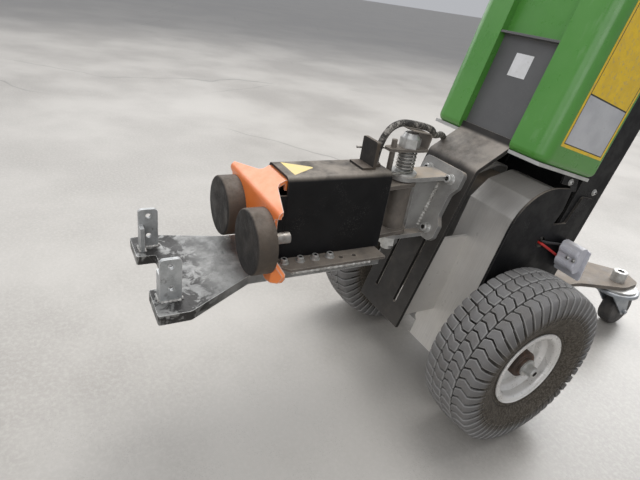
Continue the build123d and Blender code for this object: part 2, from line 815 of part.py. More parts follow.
def limit_block():
    plate = rounded([
        (-STOP_HALF, 0, 1),
        (STOP_HALF, 0, 1),
        (STOP_HALF, STOP_HIGH, 3),
        (-STOP_HALF, STOP_HIGH, 3),
    ])
    stop = Pos(0, 0, ARM_TOP) * backward(plate, STOP_Y, STOP_Y + STOP_T)
    foot = block(-STOP_HALF, STOP_HALF, STOP_Y - STOP_FOOT, STOP_Y, ARM_TOP, ARM_TOP + SHEET)
    return [stop + foot]


def arm_cable():
    slope = STRAP_TILT / STRAP_LIP
    lift = (SHEET / 2 + CABLE_R) * math.hypot(1, slope)
    lip_z = KEEPER_Z + KEEPER_T + STRAP_RISE + lift
    behind = KEEPER_BACK + 2 * CABLE_R
    beside = -FRONT_HALF - CABLE_R
    return [pipe(bent_route([
        (0, CABLE_Y, ARM_TOP + SEAT),
        (0, CABLE_Y, lip_z + (KEEPER_BACK - CABLE_Y) * slope),
        (0, behind, lip_z + (KEEPER_BACK - behind) * slope),
        (-CABLE_R, behind + 2 * CABLE_R, lip_z - CABLE_DIP),
        (beside, CABLE_SIDE_Y, CABLE_SIDE_Z),
        (beside, CABLE_SIDE_Y + CABLE_DROP / 2, CABLE_SIDE_Z - CABLE_DROP),
    ]), CABLE_R)]


# Coupling arm and fork

def arm_cover():
    folds = [(-ARM_HALF, ARM_LOW, 0), (-ARM_HALF, ARM_TOP, ARM_BEND), (ARM_HALF, ARM_TOP, ARM_BEND),
             (ARM_HALF, ARM_LOW, 0)]
    return [backward(folded(folds, SHEET, Side.RIGHT), ARM_FRONT, ARM_BACK)]


def side_strips():
    inner = ARM_HALF - SHEET
    plan = make_face(Polyline((inner, STRIP_BACK), (STRIP_OUT, STRIP_BACK), (STRIP_OUT, STRIP_FRONT + STRIP_CUT),
                              (STRIP_OUT - STRIP_CUT, STRIP_FRONT), (inner, STRIP_FRONT), close=True))
    strip = upward(plan, DECK_HIGH, DECK_HIGH + STRIP_T)
    for y in STRIP_HOLES_Y:
        strip -= rod_z(STRIP_HOLE_X, y, 0, ARM_TOP, STRIP_HOLE_R)
    return pair(strip)


def fork_plan(inset):
    plan = rounded([
        (-FORK_HALF, FORK_FRONT, 3),
        (-PRONG_IN, FORK_FRONT, 3),
        (-PRONG_IN, NOTCH_Y, 3),
        (PRONG_IN, NOTCH_Y, 3),
        (PRONG_IN, FORK_FRONT, 3),
        (FORK_HALF, FORK_FRONT, 3),
        (FORK_HALF, RAMP_Y, 12),
        (NECK_HALF, NECK_Y, 12),
        (NECK_HALF, DECK_BACK, 3),
        (-NECK_HALF, DECK_BACK, 3),
        (-NECK_HALF, NECK_Y, 12),
        (-FORK_HALF, RAMP_Y, 12),
    ])
    return offset(plan, amount=-inset) if inset else plan


def fork_band(top, deep):
    stations = [(FORK_FRONT, DECK_TOP), (RAMP_Y, DECK_TOP), (NECK_Y, DECK_HIGH), (DECK_BACK, DECK_HIGH)]
    upper = [(y, z - top) for y, z in stations]
    lower = [(y, z - deep) for y, z in reversed(stations)]
    return across(make_face(Polyline(*upper, *lower, close=True)), -FORK_HALF, FORK_HALF)


def fork_deck():
    outside = upward(fork_plan(0), DECK_TOP - 2 * SKIRT, DECK_HIGH) & fork_band(0, SKIRT)
    inside = upward(fork_plan(DECK_T), DECK_TOP - 2 * SKIRT, DECK_HIGH) & fork_band(DECK_T, 2 * SKIRT)
    deck = outside - inside
    for x in (-STRIP_HOLE_X, STRIP_HOLE_X):
        for y in STRIP_HOLES_Y:
            deck -= rod_z(x, y, 0, ARM_TOP, STRIP_HOLE_R)
    return [deck]


def lugs():
    leg = rounded([
        (LUG_FRONT, DECK_TOP, 0.5),
        (LUG_BACK, DECK_TOP, 0.5),
        (LUG_BACK, LUG_TOP, 5),
        (LUG_FRONT, LUG_TOP, 5),
    ])
    lug = across(leg, LUG_X - LUG_T, LUG_X)
    lug += block(LUG_X - LUG_FOOT, LUG_X, LUG_FRONT, LUG_FRONT + LUG_T, DECK_TOP, LUG_FOOT_TOP)
    for z in LUG_HOLES_Z:
        lug -= rod_x(LUG_X - 2 * LUG_T, LUG_X + LUG_T, LUG_HOLE_Y, z, LUG_HOLE_R)
    return pair(lug)


# Clamp

def clamp_plate():
    outline = backward(rounded(both_halves(CLAMP_CORNERS)), CLAMP_Y - CLAMP_T, TONGUE_BACK)
    plan = [(2 * EAR_HALF, CLAMP_Y - CLAMP_T, 0), (2 * EAR_HALF, EAR_BACK, 0), (EAR_HALF, EAR_BACK, 0),
            (THROAT_HALF, THROAT_Y, 0), (TONGUE_HALF, THROAT_Y + CLAMP_T, 0), (TONGUE_HALF, TONGUE_BACK, 0)]
    corners = [corner[:2] for corner in both_halves(plan)]
    reach = upward(make_face(Polyline(*corners, close=True)), CLAMP_LOW, ARM_TOP)
    upper = folded([(CLAMP_Y, FOOT_TOP, 0), (CLAMP_Y, CLAMP_FOLD_Z, CLAMP_BEND), (TONGUE_FRONT, TONGUE_TOP, CLAMP_BEND),
                    (TONGUE_BACK, TONGUE_TOP, 0)], CLAMP_T, Side.RIGHT)
    turned = FOOT_X + FOOT_TURN
    lower = folded([(-turned, CLAMP_Y + FOOT_TURN, 0), (-FOOT_X, CLAMP_Y, CLAMP_T), (FOOT_X, CLAMP_Y, CLAMP_T),
                    (turned, CLAMP_Y + FOOT_TURN, 0)], CLAMP_T, Side.LEFT)
    tongue = folded([(-TONGUE_HALF, TONGUE_LOW, 0), (-TONGUE_HALF, TONGUE_TOP, TONGUE_BEND),
                     (TONGUE_HALF, TONGUE_TOP, TONGUE_BEND), (TONGUE_HALF, TONGUE_LOW, 0)], CLAMP_T, Side.RIGHT)
    plate = across(upper, -EAR_HALF, EAR_HALF) & outline & reach
    plate += upward(lower, CLAMP_LOW, FOOT_TOP) & outline
    front_end = across(upper, -TONGUE_HALF, TONGUE_HALF) & block(-TONGUE_HALF, TONGUE_HALF, EAR_BACK, TONGUE_FRONT,
                                                                  CLAMP_LOW, ARM_TOP)
    return [plate + front_end + backward(tongue, TONGUE_FRONT, TONGUE_BACK)]


def buffers():
    disc = rod_y(BUFFER_X, CLAMP_Y - BUFFER_T, CLAMP_Y, BUFFER_Z, BUFFER_R)
    return pair(fillet(disc.edges().group_by(Axis.Y)[0], BUFFER_EDGE))


def buffer_studs():
    return pair(rod_y(BUFFER_X, CLAMP_Y + CLAMP_T, STUD_BACK, BUFFER_Z, STUD_R))


def actuator_rod():
    return [rod_y(0, CLAMP_Y + CLAMP_T, ROD_BACK, ROD_Z, ROD_R)]


def actuator():
    web = ARM_HALF - SHEET
    body = rod_y(0, ACTUATOR_FRONT, ACTUATOR_BACK, ROD_Z, ACTUATOR_R)
    body += block(-web, web, SADDLE_Y, SADDLE_Y + SADDLE_T, DECK_HIGH, ROD_Z)
    return [body - rod_y(0, ACTUATOR_FRONT, ACTUATOR_BACK - ACTUATOR_END, ROD_Z, ROD_R + RUN)]


# Connector

def plug_low():
    front = PLUG_Y - PLUG_DEEP / 2
    return TYRE_R + math.sqrt(TYRE_R ** 2 - front ** 2) + PLUG_OVER_TYRE


def wire_low_z():
    return plug_low() + WIRE_UP


def wire_high_z():
    return plug_low() + PLUG_TALL - WIRE_UP


def connector():
    mouth = CASE_HALF + PLUG_GAP
    front = PLUG_Y - PLUG_DEEP / 2
    low = plug_low()
    body = block(mouth, mouth + PLUG_LONG, front, front + PLUG_DEEP, low, low + PLUG_TALL)
    body = fillet(body.edges().filter_by(Axis.X), PLUG_ROUND)
    for z in (wire_low_z(), wire_high_z()):
        body -= rod_x(mouth, mouth + PLUG_BORE_DEEP, PLUG_Y, z, PLUG_BORE_R)
    return [body]


def connector_bracket():
    back = PLUG_Y + PLUG_DEEP / 2
    low = plug_low()
    plate = block(CASE_HALF, CASE_HALF + BRACKET_OUT, back, back + SHEET, low - BRACKET_DROP, low + PLUG_TALL - CORNER)
    return [fillet(plate.edges().filter_by(Axis.Y), SHEET)]


def wire(z_hole, z_plug):
    near = CASE_HALF - CHEEK_T
    out = near + WIRE_OUT
    end = CASE_HALF + PLUG_GAP + PLUG_BORE_DEEP
    points = [(near, WIRE_HOLE_Y, z_hole), (out, WIRE_HOLE_Y, z_hole), (out, PLUG_Y, z_plug), (end, PLUG_Y, z_plug)]
    return pipe(bent_route(points), WIRE_R)


def wires():
    return [wire(WIRE_HOLE_Z - WIRE_R, wire_low_z()), wire(WIRE_HOLE_Z + WIRE_R + SEAT, wire_high_z())]


PARTS = {
    "tyre_left": lambda: tyre(-1),
    "tyre_right": lambda: tyre(1),
    "rim_left": lambda: rim(-1),
    "rim_right": lambda: rim(1),
    "hub_left": lambda: hub(-1),
    "hub_right": lambda: hub(1),
    "axle_stubs": axle_stubs,
    "front_plate": front_plate,
    "plate_webs": plate_webs,
    "casing_wraps": casing_wraps,
    "side_cheeks": side_cheeks,
    "drive_unit": drive_unit,
    "rear_beam": rear_beam,
    "castor_arm": castor_arm,
    "castor_bolt": castor_bolt,
    "castor_fork": castor_fork,
    "castor_wheel": castor_wheel,
    "battery_hood": battery_hood,
    "centre_cover": centre_cover,
    "battery_block": battery_block,
    "hood_shelf": hood_shelf,
    "mast_channel": mast_channel,
    "mast_top": mast_top,
    "handle_bar": handle_bar,
    "grips": grips,
    "control_head": control_head,
    "hinge_bracket": hinge_bracket,
    "pivot_bolt": pivot_bolt,
    "centring_spring": centring_spring,
    "keeper": keeper,
    "limit_block": limit_block,
    "arm_cable": arm_cable,
    "arm_knuckles": arm_knuckles,
    "arm_cover": arm_cover,
    "side_strips": side_strips,
    "fork_deck": fork_deck,
    "lugs": lugs,
    "clamp_plate": clamp_plate,
    "buffers": buffers,
    "buffer_studs": buffer_studs,
    "actuator": actuator,
    "actuator_rod": actuator_rod,
    "connector": connector,
    "connector_bracket": connector_bracket,
    "wires": wires,
}

os.makedirs("parts", exist_ok=True)
for name, make in PARTS.items():
    placed = [Pos(0, SHIFT, 0) * shape for shape in make()]
    whole = placed[0] if len(placed) == 1 else Compound(children=placed)
    export_step(whole, f"parts/{name}.step")
    box = whole.bounding_box()
    print(name, [round(v, 1) for v in (*tuple(box.min), *tuple(box.max))], round(whole.volume / 1000, 1))
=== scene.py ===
import math
import random

import bmesh
import bpy
from mathutils import Matrix, Vector
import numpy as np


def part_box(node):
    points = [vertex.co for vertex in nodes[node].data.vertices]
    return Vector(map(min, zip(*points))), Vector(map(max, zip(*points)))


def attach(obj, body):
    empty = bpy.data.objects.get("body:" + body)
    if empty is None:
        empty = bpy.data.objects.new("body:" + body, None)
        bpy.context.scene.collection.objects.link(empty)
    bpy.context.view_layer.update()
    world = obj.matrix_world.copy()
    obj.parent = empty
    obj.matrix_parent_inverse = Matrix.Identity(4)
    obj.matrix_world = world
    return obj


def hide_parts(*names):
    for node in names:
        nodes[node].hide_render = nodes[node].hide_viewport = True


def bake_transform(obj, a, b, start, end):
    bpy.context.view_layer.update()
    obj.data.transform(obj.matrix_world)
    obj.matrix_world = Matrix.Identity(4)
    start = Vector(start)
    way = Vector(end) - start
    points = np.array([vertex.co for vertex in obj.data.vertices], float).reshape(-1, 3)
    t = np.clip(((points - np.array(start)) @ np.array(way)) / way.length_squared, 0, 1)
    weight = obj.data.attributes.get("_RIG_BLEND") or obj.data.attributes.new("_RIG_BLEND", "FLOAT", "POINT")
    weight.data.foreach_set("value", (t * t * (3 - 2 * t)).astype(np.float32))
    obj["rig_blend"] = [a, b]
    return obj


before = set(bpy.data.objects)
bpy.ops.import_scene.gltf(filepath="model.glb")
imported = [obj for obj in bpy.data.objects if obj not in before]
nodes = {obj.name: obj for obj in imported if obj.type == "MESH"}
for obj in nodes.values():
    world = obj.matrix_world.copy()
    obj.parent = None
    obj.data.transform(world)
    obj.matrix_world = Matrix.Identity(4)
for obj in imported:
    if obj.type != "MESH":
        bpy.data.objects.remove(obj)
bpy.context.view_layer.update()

random.seed(7)

# The hall stands round the tractor and isn't part of it: a pale, polished concrete floor with fine grit and
# a few cracks, under soft daylight from above and behind.
FLOOR_WIDE = 80.0
FLOOR_DARK, FLOOR_PALE = (0.29, 0.272, 0.248), (0.42, 0.40, 0.37)
GRIT_PALE, GRIT_DARK, CRACK_DARK = (0.46, 0.44, 0.41), (0.16, 0.15, 0.135), (0.2, 0.19, 0.175)
DAYLIGHT, DAYLIGHT_LEVEL = (0.93, 0.95, 1.0, 1), 0.5
LAMPS = [
    # name, place, width, watts
    ("roof", (-0.6, 0.7, 3.4), 2.2, 84.0),
    ("windows", (-1.3, 3.8, 2.9), 2.4, 122.0),
    ("gate", (-3.3, -0.5, 2.5), 3.4, 58.0),
    ("near", (2.9, -2.5, 2.1), 2.2, 30.0),
    ("doors", (0.9, -4.4, 2.9), 3.0, 34.0),
]
LAMPS_AIM = Vector((0, 0, 0.3))


def add(tree, kind, sockets=(), **settings):
    node = tree.nodes.new("ShaderNode" + kind)
    for name, value in settings.items():
        setattr(node, name, value)
    for key, value in dict(sockets).items():
        if isinstance(value, bpy.types.NodeSocket):
            tree.links.new(value, node.inputs[key])
        else:
            node.inputs[key].default_value = value
    return node


def ramp(tree, value, start, end):
    return add(tree, "MapRange", {"Value": value, "From Min": start, "From Max": end},
               interpolation_type="SMOOTHSTEP").outputs[0]


def effect(name, inputs, build):
    group = bpy.data.node_groups.new(name, "ShaderNodeTree")
    for label, value in inputs.items():
        socket = group.interface.new_socket(label, in_out="INPUT", socket_type="NodeSocketFloat")
        socket.default_value = value
    group.interface.new_socket("Mask", in_out="OUTPUT", socket_type="NodeSocketFloat")
    given = group.nodes.new("NodeGroupInput")
    result = group.nodes.new("NodeGroupOutput")
    group.links.new(build(group, given.outputs), result.inputs["Mask"])
    return group


def specks(tree, given):
    place = add(tree, "TexCoord").outputs["Object"]
    cells = add(tree, "TexVoronoi", {"Vector": place, "Scale": given["Scale"], "Randomness": 1.0})
    dot = ramp(tree, cells.outputs["Distance"], 0.28, 0.12)
    noise = add(tree, "TexNoise", {"Vector": place, "Scale": 18.0, "Detail": 5.0})
    some = ramp(tree, noise.outputs["Fac"], given["Start"], given["End"])
    return add(tree, "Math", {0: dot, 1: some}, operation="MULTIPLY").outputs[0]


def use(tree, group, values):
    node = add(tree, "Group", node_tree=group)
    for label, value in values.items():
        node.inputs[label].default_value = value
    return node.outputs["Mask"]


def blend_colour(tree, mask, under, over, share=1.0):
    if share < 1.0:
        mask = add(tree, "Math", {0: mask, 1: share}, operation="MULTIPLY").outputs[0]
    node = add(tree, "Mix", data_type="RGBA")
    tree.links.new(mask, node.inputs["Factor"])
    for key, value in ((6, under), (7, over)):
        if isinstance(value, bpy.types.NodeSocket):
            tree.links.new(value, node.inputs[key])
        else:
            node.inputs[key].default_value = (*value, 1)
    return node.outputs[2]


def material(name, rough, metal=0.0):
    made = bpy.data.materials.new(name)
    made.use_nodes = True
    tree = made.node_tree
    shader = tree.nodes["Principled BSDF"]
    shader.inputs["Roughness"].default_value = rough
    shader.inputs["Metallic"].default_value = metal
    return made, tree, shader


def rough_from(tree, shader, mask, smooth, coarse):
    node = add(tree, "MapRange", {"Value": mask, "To Min": smooth, "To Max": coarse})
    tree.links.new(node.outputs[0], shader.inputs["Roughness"])


SPECKS = effect("Specks", {"Scale": 400.0, "Start": 0.5, "End": 0.7}, specks)
concrete, tree, shader = material("concrete", 0.35)
place = add(tree, "TexCoord").outputs["Object"]
broad = add(tree, "TexNoise", {"Vector": place, "Scale": 1.3, "Detail": 7.0, "Roughness": 0.6}).outputs["Fac"]
fine = add(tree, "TexNoise", {"Vector": place, "Scale": 140.0, "Detail": 8.0, "Roughness": 0.75}).outputs["Fac"]
colour = blend_colour(tree, ramp(tree, broad, 0.35, 0.65), FLOOR_DARK, FLOOR_PALE)
colour = blend_colour(tree, ramp(tree, fine, 0.42, 0.66), colour, GRIT_PALE, 0.45)
colour = blend_colour(tree, use(tree, SPECKS, {"Scale": 420.0, "Start": 0.42, "End": 0.6}), colour, GRIT_DARK, 0.4)
wander = add(tree, "TexNoise", {"Vector": place, "Scale": 5.0}).outputs["Color"]
warped = add(tree, "MixRGB", {"Fac": 0.06, "Color1": place, "Color2": wander}).outputs[0]
crack = add(tree, "TexVoronoi", {"Vector": warped, "Scale": 0.55}, feature="DISTANCE_TO_EDGE").outputs["Distance"]
some = ramp(tree, add(tree, "TexNoise", {"Vector": place, "Scale": 0.9}).outputs["Fac"], 0.5, 0.56)
line = add(tree, "Math", {0: ramp(tree, crack, 0.0022, 0.0004), 1: some}, operation="MULTIPLY").outputs[0]
colour = blend_colour(tree, line, colour, CRACK_DARK, 0.75)
tree.links.new(colour, shader.inputs["Base Color"])
rough_from(tree, shader, broad, 0.2, 0.55)
bpy.ops.mesh.primitive_grid_add(x_subdivisions=8, y_subdivisions=8, size=FLOOR_WIDE)
floor = bpy.context.object
floor.name = "floor"
floor.data.materials.append(concrete)

world = bpy.data.worlds.new("hall")
bpy.context.scene.world = world
world.use_nodes = True
world.node_tree.nodes["Background"].inputs["Color"].default_value = DAYLIGHT
world.node_tree.nodes["Background"].inputs["Strength"].default_value = DAYLIGHT_LEVEL
for name, spot, wide, watts in LAMPS:
    lamp = bpy.data.lights.new(name, "AREA")
    lamp.size = wide
    lamp.energy = watts
    lamp_object = bpy.data.objects.new(name, lamp)
    bpy.context.scene.collection.objects.link(lamp_object)
    lamp_object.location = spot
    lamp_object.rotation_euler = (LAMPS_AIM - Vector(spot)).to_track_quat("-Z", "Y").to_euler()

# The camera stands at the near front corner, above the wheel, and leans a little to one side, as the
# photographer did. Places are given in millimetres from the point on the floor under the axle's middle.
AZIMUTH, ELEVATION, ROLL = (math.radians(angle) for angle in (57.99, 27.33, 9.11))
LENS, SENSOR = 27.36, 36.0
STAND = (513.56, -596.26, 598.48)
axle_low, axle_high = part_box("axle_stubs")
AXLE_Y = (axle_low.y + axle_high.y) / 2


def mm(x, y, z):
    return Vector((x * 0.001, y * 0.001 + AXLE_Y, z * 0.001))


forward = Vector((-math.sin(AZIMUTH) * math.cos(ELEVATION), math.cos(AZIMUTH) * math.cos(ELEVATION),
                  -math.sin(ELEVATION)))
level = Vector((math.cos(AZIMUTH), math.sin(AZIMUTH), 0))
upright = level.cross(forward)
right = math.cos(ROLL) * level + math.sin(ROLL) * upright
above = math.cos(ROLL) * upright - math.sin(ROLL) * level
view = bpy.data.cameras.new("camera")
view.lens = LENS
view.sensor_width = SENSOR
camera = bpy.data.objects.new("camera", view)
bpy.context.scene.collection.objects.link(camera)
camera.matrix_world = Matrix.Translation(mm(*STAND)) @ Matrix((right, above, -forward)).transposed().to_4x4()
bpy.context.scene.camera = camera
bpy.context.scene.view_settings.view_transform = "Standard"

# The coupling fork is one galvanised deck cut from thick plate, with bright spangle and dark smears. The heat
# of welding the lugs has blackened its front, from about 45 mm behind them.
BURN_FROM, BURN_FULL = -425, -468
SPANGLE_TONE, BURN_TONE = (0.40, 0.40, 0.39), (0.028, 0.026, 0.025)


def cloudy(tree, given):
    place = add(tree, "TexCoord").outputs["Object"]
    noise = add(tree, "TexNoise", {"Vector": place, "Scale": given["Scale"], "Detail": 8.0, "Roughness": 0.62,
                                   "Distortion": given["Distortion"]})
    return ramp(tree, noise.outputs["Fac"], given["Start"], given["End"])


def worn_edge(tree, given):
    soft = add(tree, "Bevel", {"Radius": given["Width"]}, samples=4).outputs["Normal"]
    true = add(tree, "NewGeometry").outputs["Normal"]
    bend = add(tree, "VectorMath", {0: soft, 1: true}, operation="DOT_PRODUCT").outputs["Value"]
    place = add(tree, "TexCoord").outputs["Object"]
    noise = add(tree, "TexNoise", {"Vector": place, "Scale": given["Scale"], "Detail": 6.0, "Roughness": 0.7})
    edge = ramp(tree, bend, 0.985, 0.86)
    ragged = add(tree, "Math", {0: edge, 1: noise.outputs["Fac"]}, operation="MULTIPLY").outputs[0]
    return ramp(tree, ragged, given["Start"], given["End"])


def bumpy(tree, shader, mask, depth):
    bump = add(tree, "Bump", {"Height": mask, "Strength": depth, "Distance": 0.001})
    tree.links.new(bump.outputs["Normal"], shader.inputs["Normal"])


def fine_grain(scale):
    return {"Scale": scale, "Start": 0.2, "End": 0.8}


def dress(finish, *names):
    for name in names:
        nodes[name].data.materials.clear()
        nodes[name].data.materials.append(finish)


CLOUDY = effect("Cloudy", {"Scale": 12.0, "Distortion": 0.0, "Start": 0.35, "End": 0.65}, cloudy)
WORN = effect("Worn edge", {"Width": 0.0012, "Scale": 90.0, "Start": 0.25, "End": 0.4}, worn_edge)
galvanised, tree, shader = material("galvanised", 0.42, 0.6)
place = add(tree, "TexCoord").outputs["Object"]
spangle = add(tree, "TexVoronoi", {"Vector": place, "Scale": 160.0}).outputs["Color"]
patch = use(tree, CLOUDY, {"Scale": 38.0, "Start": 0.38, "End": 0.62})
colour = blend_colour(tree, patch, (0.30, 0.30, 0.29), (0.18, 0.18, 0.175))
colour = blend_colour(tree, add(tree, "SeparateColor", {0: spangle}).outputs[0], colour, SPANGLE_TONE, 0.25)
reach = add(tree, "SeparateXYZ", {0: add(tree, "NewGeometry").outputs["Position"]}).outputs["Y"]
burnt = ramp(tree, reach, mm(0, BURN_FROM, 0).y, mm(0, BURN_FULL, 0).y)
mottle = use(tree, CLOUDY, {"Scale": 68.0, "Distortion": 0.5, "Start": 0.42, "End": 0.53})
smear = add(tree, "Math", {0: burnt, 1: mottle}, operation="MULTIPLY").outputs[0]
colour = blend_colour(tree, smear, colour, BURN_TONE, 0.94)
bright_edge = use(tree, WORN, {"Width": 0.0015, "Start": 0.2, "End": 0.35})
colour = blend_colour(tree, bright_edge, colour, (0.75, 0.75, 0.73), 0.7)
tree.links.new(colour, shader.inputs["Base Color"])
rough_from(tree, shader, use(tree, CLOUDY, {"Scale": 25.0}), 0.3, 0.6)
bumpy(tree, shader, use(tree, CLOUDY, fine_grain(120.0)), 0.35)
dress(galvanised, "fork_deck")


# The two lugs are drilled angles of bare steel, welded on behind the prongs' tips. Their edges are rubbed
# bright and their faces keep a few dark stains.
def layered(name, rough, metal, under, layers, patches=None, grain=None, **sockets):
    # A layer is an effect, its values, the colour it lays over those before it, and its share.
    made, tree, shader = material(name, rough, metal)
    colour = under
    for group, values, over, share in layers:
        colour = blend_colour(tree, use(tree, group, values), colour, over, share)
    tree.links.new(colour, shader.inputs["Base Color"])
    if patches:
        group, values, smooth, coarse = patches
        rough_from(tree, shader, use(tree, group, values), smooth, coarse)
    if grain:
        group, values, depth = grain
        bumpy(tree, shader, use(tree, group, values), depth)
    for label, value in sockets.items():
        shader.inputs[label.replace("_", " ")].default_value = value
    return made


lug_steel = layered("lug_steel", 0.45, 0.45, (0.34, 0.35, 0.35), [
    (CLOUDY, {"Scale": 60.0}, (0.50, 0.51, 0.51), 1.0),
    (CLOUDY, {"Scale": 160.0, "Start": 0.56, "End": 0.7}, (0.13, 0.12, 0.11), 0.6),
    (WORN, {"Width": 0.0012, "Start": 0.15, "End": 0.3}, (0.72, 0.72, 0.70), 0.8),
], grain=(CLOUDY, fine_grain(200.0), 0.25))
dress(lug_steel, "lugs")

# The side strips are flat bars of plain steel under brown dust, held to the deck by four socket screws each.
# The screws are zinc plated, with a washer under the head.
SCREW_X, SCREWS_Y, STRIP_TURN = 41.0, (-349, -326, -304, -282), 7
HEX_REACH, SOCKET_DEEP = (1.0, 0.92, 0.87, 0.92), 0.55
FACETS = 24


# Patches on faces turned upward. Most finishes lay settled dust with it; on the orange clamp it is partly a painted
# highlight, and on the green hood wholly one.
def upward_mask(tree, given):
    up = add(tree, "SeparateXYZ", {0: add(tree, "NewGeometry").outputs["Normal"]}).outputs["Z"]
    place = add(tree, "TexCoord").outputs["Object"]
    noise = add(tree, "TexNoise", {"Vector": place, "Scale": given["Scale"], "Detail": 9.0, "Roughness": 0.7})
    patch = ramp(tree, noise.outputs["Fac"], 0.28, 0.68)
    return add(tree, "Math", {0: ramp(tree, up, 0.15, 0.95), 1: patch}, operation="MULTIPLY").outputs[0]


UPWARD_PATCHES = effect("Upward patches", {"Scale": 30.0}, upward_mask)
dusty_steel = layered("dusty_steel", 0.6, 0.2, (0.11, 0.096, 0.083), [
    (CLOUDY, {"Scale": 30.0}, (0.19, 0.165, 0.14), 1.0),
    (UPWARD_PATCHES, {"Scale": 25.0}, (0.26, 0.22, 0.178), 0.8),
    (SPECKS, {"Scale": 260.0, "Start": 0.5, "End": 0.62}, (0.2, 0.1, 0.05), 0.45),
    (WORN, {"Start": 0.2, "End": 0.4}, (0.50, 0.46, 0.41), 0.6),
], patches=(UPWARD_PATCHES, {"Scale": 25.0}, 0.5, 0.88), grain=(CLOUDY, fine_grain(220.0), 0.25))
zinc = layered("zinc", 0.3, 0.65, (0.58, 0.58, 0.565), [
    (CLOUDY, {"Scale": 140.0}, (0.46, 0.46, 0.445), 1.0),
    (UPWARD_PATCHES, {"Scale": 80.0}, (0.38, 0.35, 0.3), 0.45),
], patches=(CLOUDY, {"Scale": 180.0}, 0.3, 0.5))
# The socket recesses of the screws and of the key switch are coloured near black: painted shade inside the hole.
socket_painted_shade = layered("screw_socket_painted_shade", 0.6, 0.3, (0.015, 0.015, 0.015), [
    (CLOUDY, {"Scale": 300.0}, (0.05, 0.045, 0.04), 1.0),
])
dress(dusty_steel, "side_strips")


def finished(mesh, name, finish):
    data = bpy.data.meshes.new(name)
    bmesh.ops.recalc_face_normals(mesh, faces=mesh.faces)
    mesh.to_mesh(data)
    mesh.free()
    data.materials.append(finish)
    data.shade_smooth()
    made = bpy.data.objects.new(name, data)
    bpy.context.scene.collection.objects.link(made)
    return made


def piece(name, mesh, finish, body, smooth=35.0):
    made = finished(mesh, name, finish)
    made.data.set_sharp_from_angle(angle=math.radians(smooth))
    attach(made, body)
    return made


def ring(mesh, matrix, radius, height, count=FACETS):
    turns = [2 * math.pi * i / count for i in range(count)]
    spots = [Vector((radius * math.cos(turn), radius * math.sin(turn), height)) for turn in turns]
    return [mesh.verts.new(matrix @ spot) for spot in spots]


def bridge(mesh, first, second, index=0):
    for i in range(len(first)):
        j = (i + 1) % len(first)
        mesh.faces.new((first[i], first[j], second[j], second[i])).material_index = index


def turned(mesh, matrix, profile, count=FACETS):
    rows = [ring(mesh, matrix, radius, height, count) for radius, height in profile]
    for first, second in zip(rows, rows[1:]):
        bridge(mesh, first, second)
    return rows


def screw(mesh, matrix, head_r, head_h, socket_r, washer_r=0.0, washer_t=0.0, round_up=0.12):
    if washer_r:
        turned(mesh, matrix, [(washer_r, 0), (washer_r, washer_t * 0.8), (washer_r * 0.96, washer_t),
                              (head_r * 0.6, washer_t)])
    lip = head_r * round_up
    rows = turned(mesh, matrix, [(head_r, washer_t), (head_r, washer_t + head_h - lip),
                                 (head_r - lip, washer_t + head_h)])
    hexagon = []
    for i in range(FACETS):
        turn, reach = 2 * math.pi * i / FACETS, socket_r * HEX_REACH[i % 4]
        corner = Vector((reach * math.cos(turn), reach * math.sin(turn), washer_t + head_h))
        hexagon.append(mesh.verts.new(matrix @ corner))
    bridge(mesh, rows[-1], hexagon)
    deep = [mesh.verts.new(v.co - matrix.to_3x3() @ Vector((0, 0, head_h * SOCKET_DEEP))) for v in hexagon]
    # The socket's walls and floor take the second finish, the painted shade.
    bridge(mesh, hexagon, deep, 1)
    mesh.faces.new(deep).material_index = 1


def screws(name, places, body, **sizes):
    mesh = bmesh.new()
    for matrix in places:
        screw(mesh, matrix, **sizes)
    made = piece(name, mesh, zinc, body)
    made.data.materials.append(socket_painted_shade)


strip_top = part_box("side_strips")[1].z
places = []
for side in (-1, 1):
    for y in SCREWS_Y:
        spot = mm(side * SCREW_X, y, 0)
        spot.z = strip_top
        places.append(Matrix.Translation(spot) @ Matrix.Rotation(math.radians(y * STRIP_TURN), 4, "Z"))
screws("strip_screws", places, "coupling_arm",
       head_r=0.0048, head_h=0.0052, socket_r=0.0024, washer_r=0.0066, washer_t=0.0012)

# Weld seams join the strips to the deck's edges and the lugs to the deck. They are laid in small ripples,
# bright on their crowns and sooty between them.
SEAM_X, SEAM_Z, SEAM_FROM, SEAM_TO, SEAM_R, SEAM_RIPPLE = 57.6, 277.4, -346, -226, 0.0026, 0.009
SEAM_SIDES, RIPPLE_STEPS, RIPPLE_DEEP, UNEVEN = 10, 6, 0.2, 0.07
LUG_SEAM_Z, LUG_SEAM_R, LUG_RIPPLE = 270.4, 0.0021, 0.005
LUG_SEAMS = [
    # start x, start y, end x, end y
    (66.0, -506, 66.0, -483),
    (59.6, -500, 59.6, -483),
    (47.5, -507.2, 65.0, -507.2),
    (47.5, -500.8, 59.0, -500.8),
    (60.5, -482.0, 65.0, -482.0),
]
weld = layered("weld", 0.42, 0.45, (0.60, 0.59, 0.56), [
    (CLOUDY, {"Scale": 90.0}, (0.36, 0.345, 0.32), 1.0),
    (CLOUDY, {"Scale": 240.0, "Start": 0.55, "End": 0.68}, (0.09, 0.075, 0.065), 0.7),
], patches=(CLOUDY, {"Scale": 180.0}, 0.32, 0.6), grain=(CLOUDY, fine_grain(380.0), 0.5))


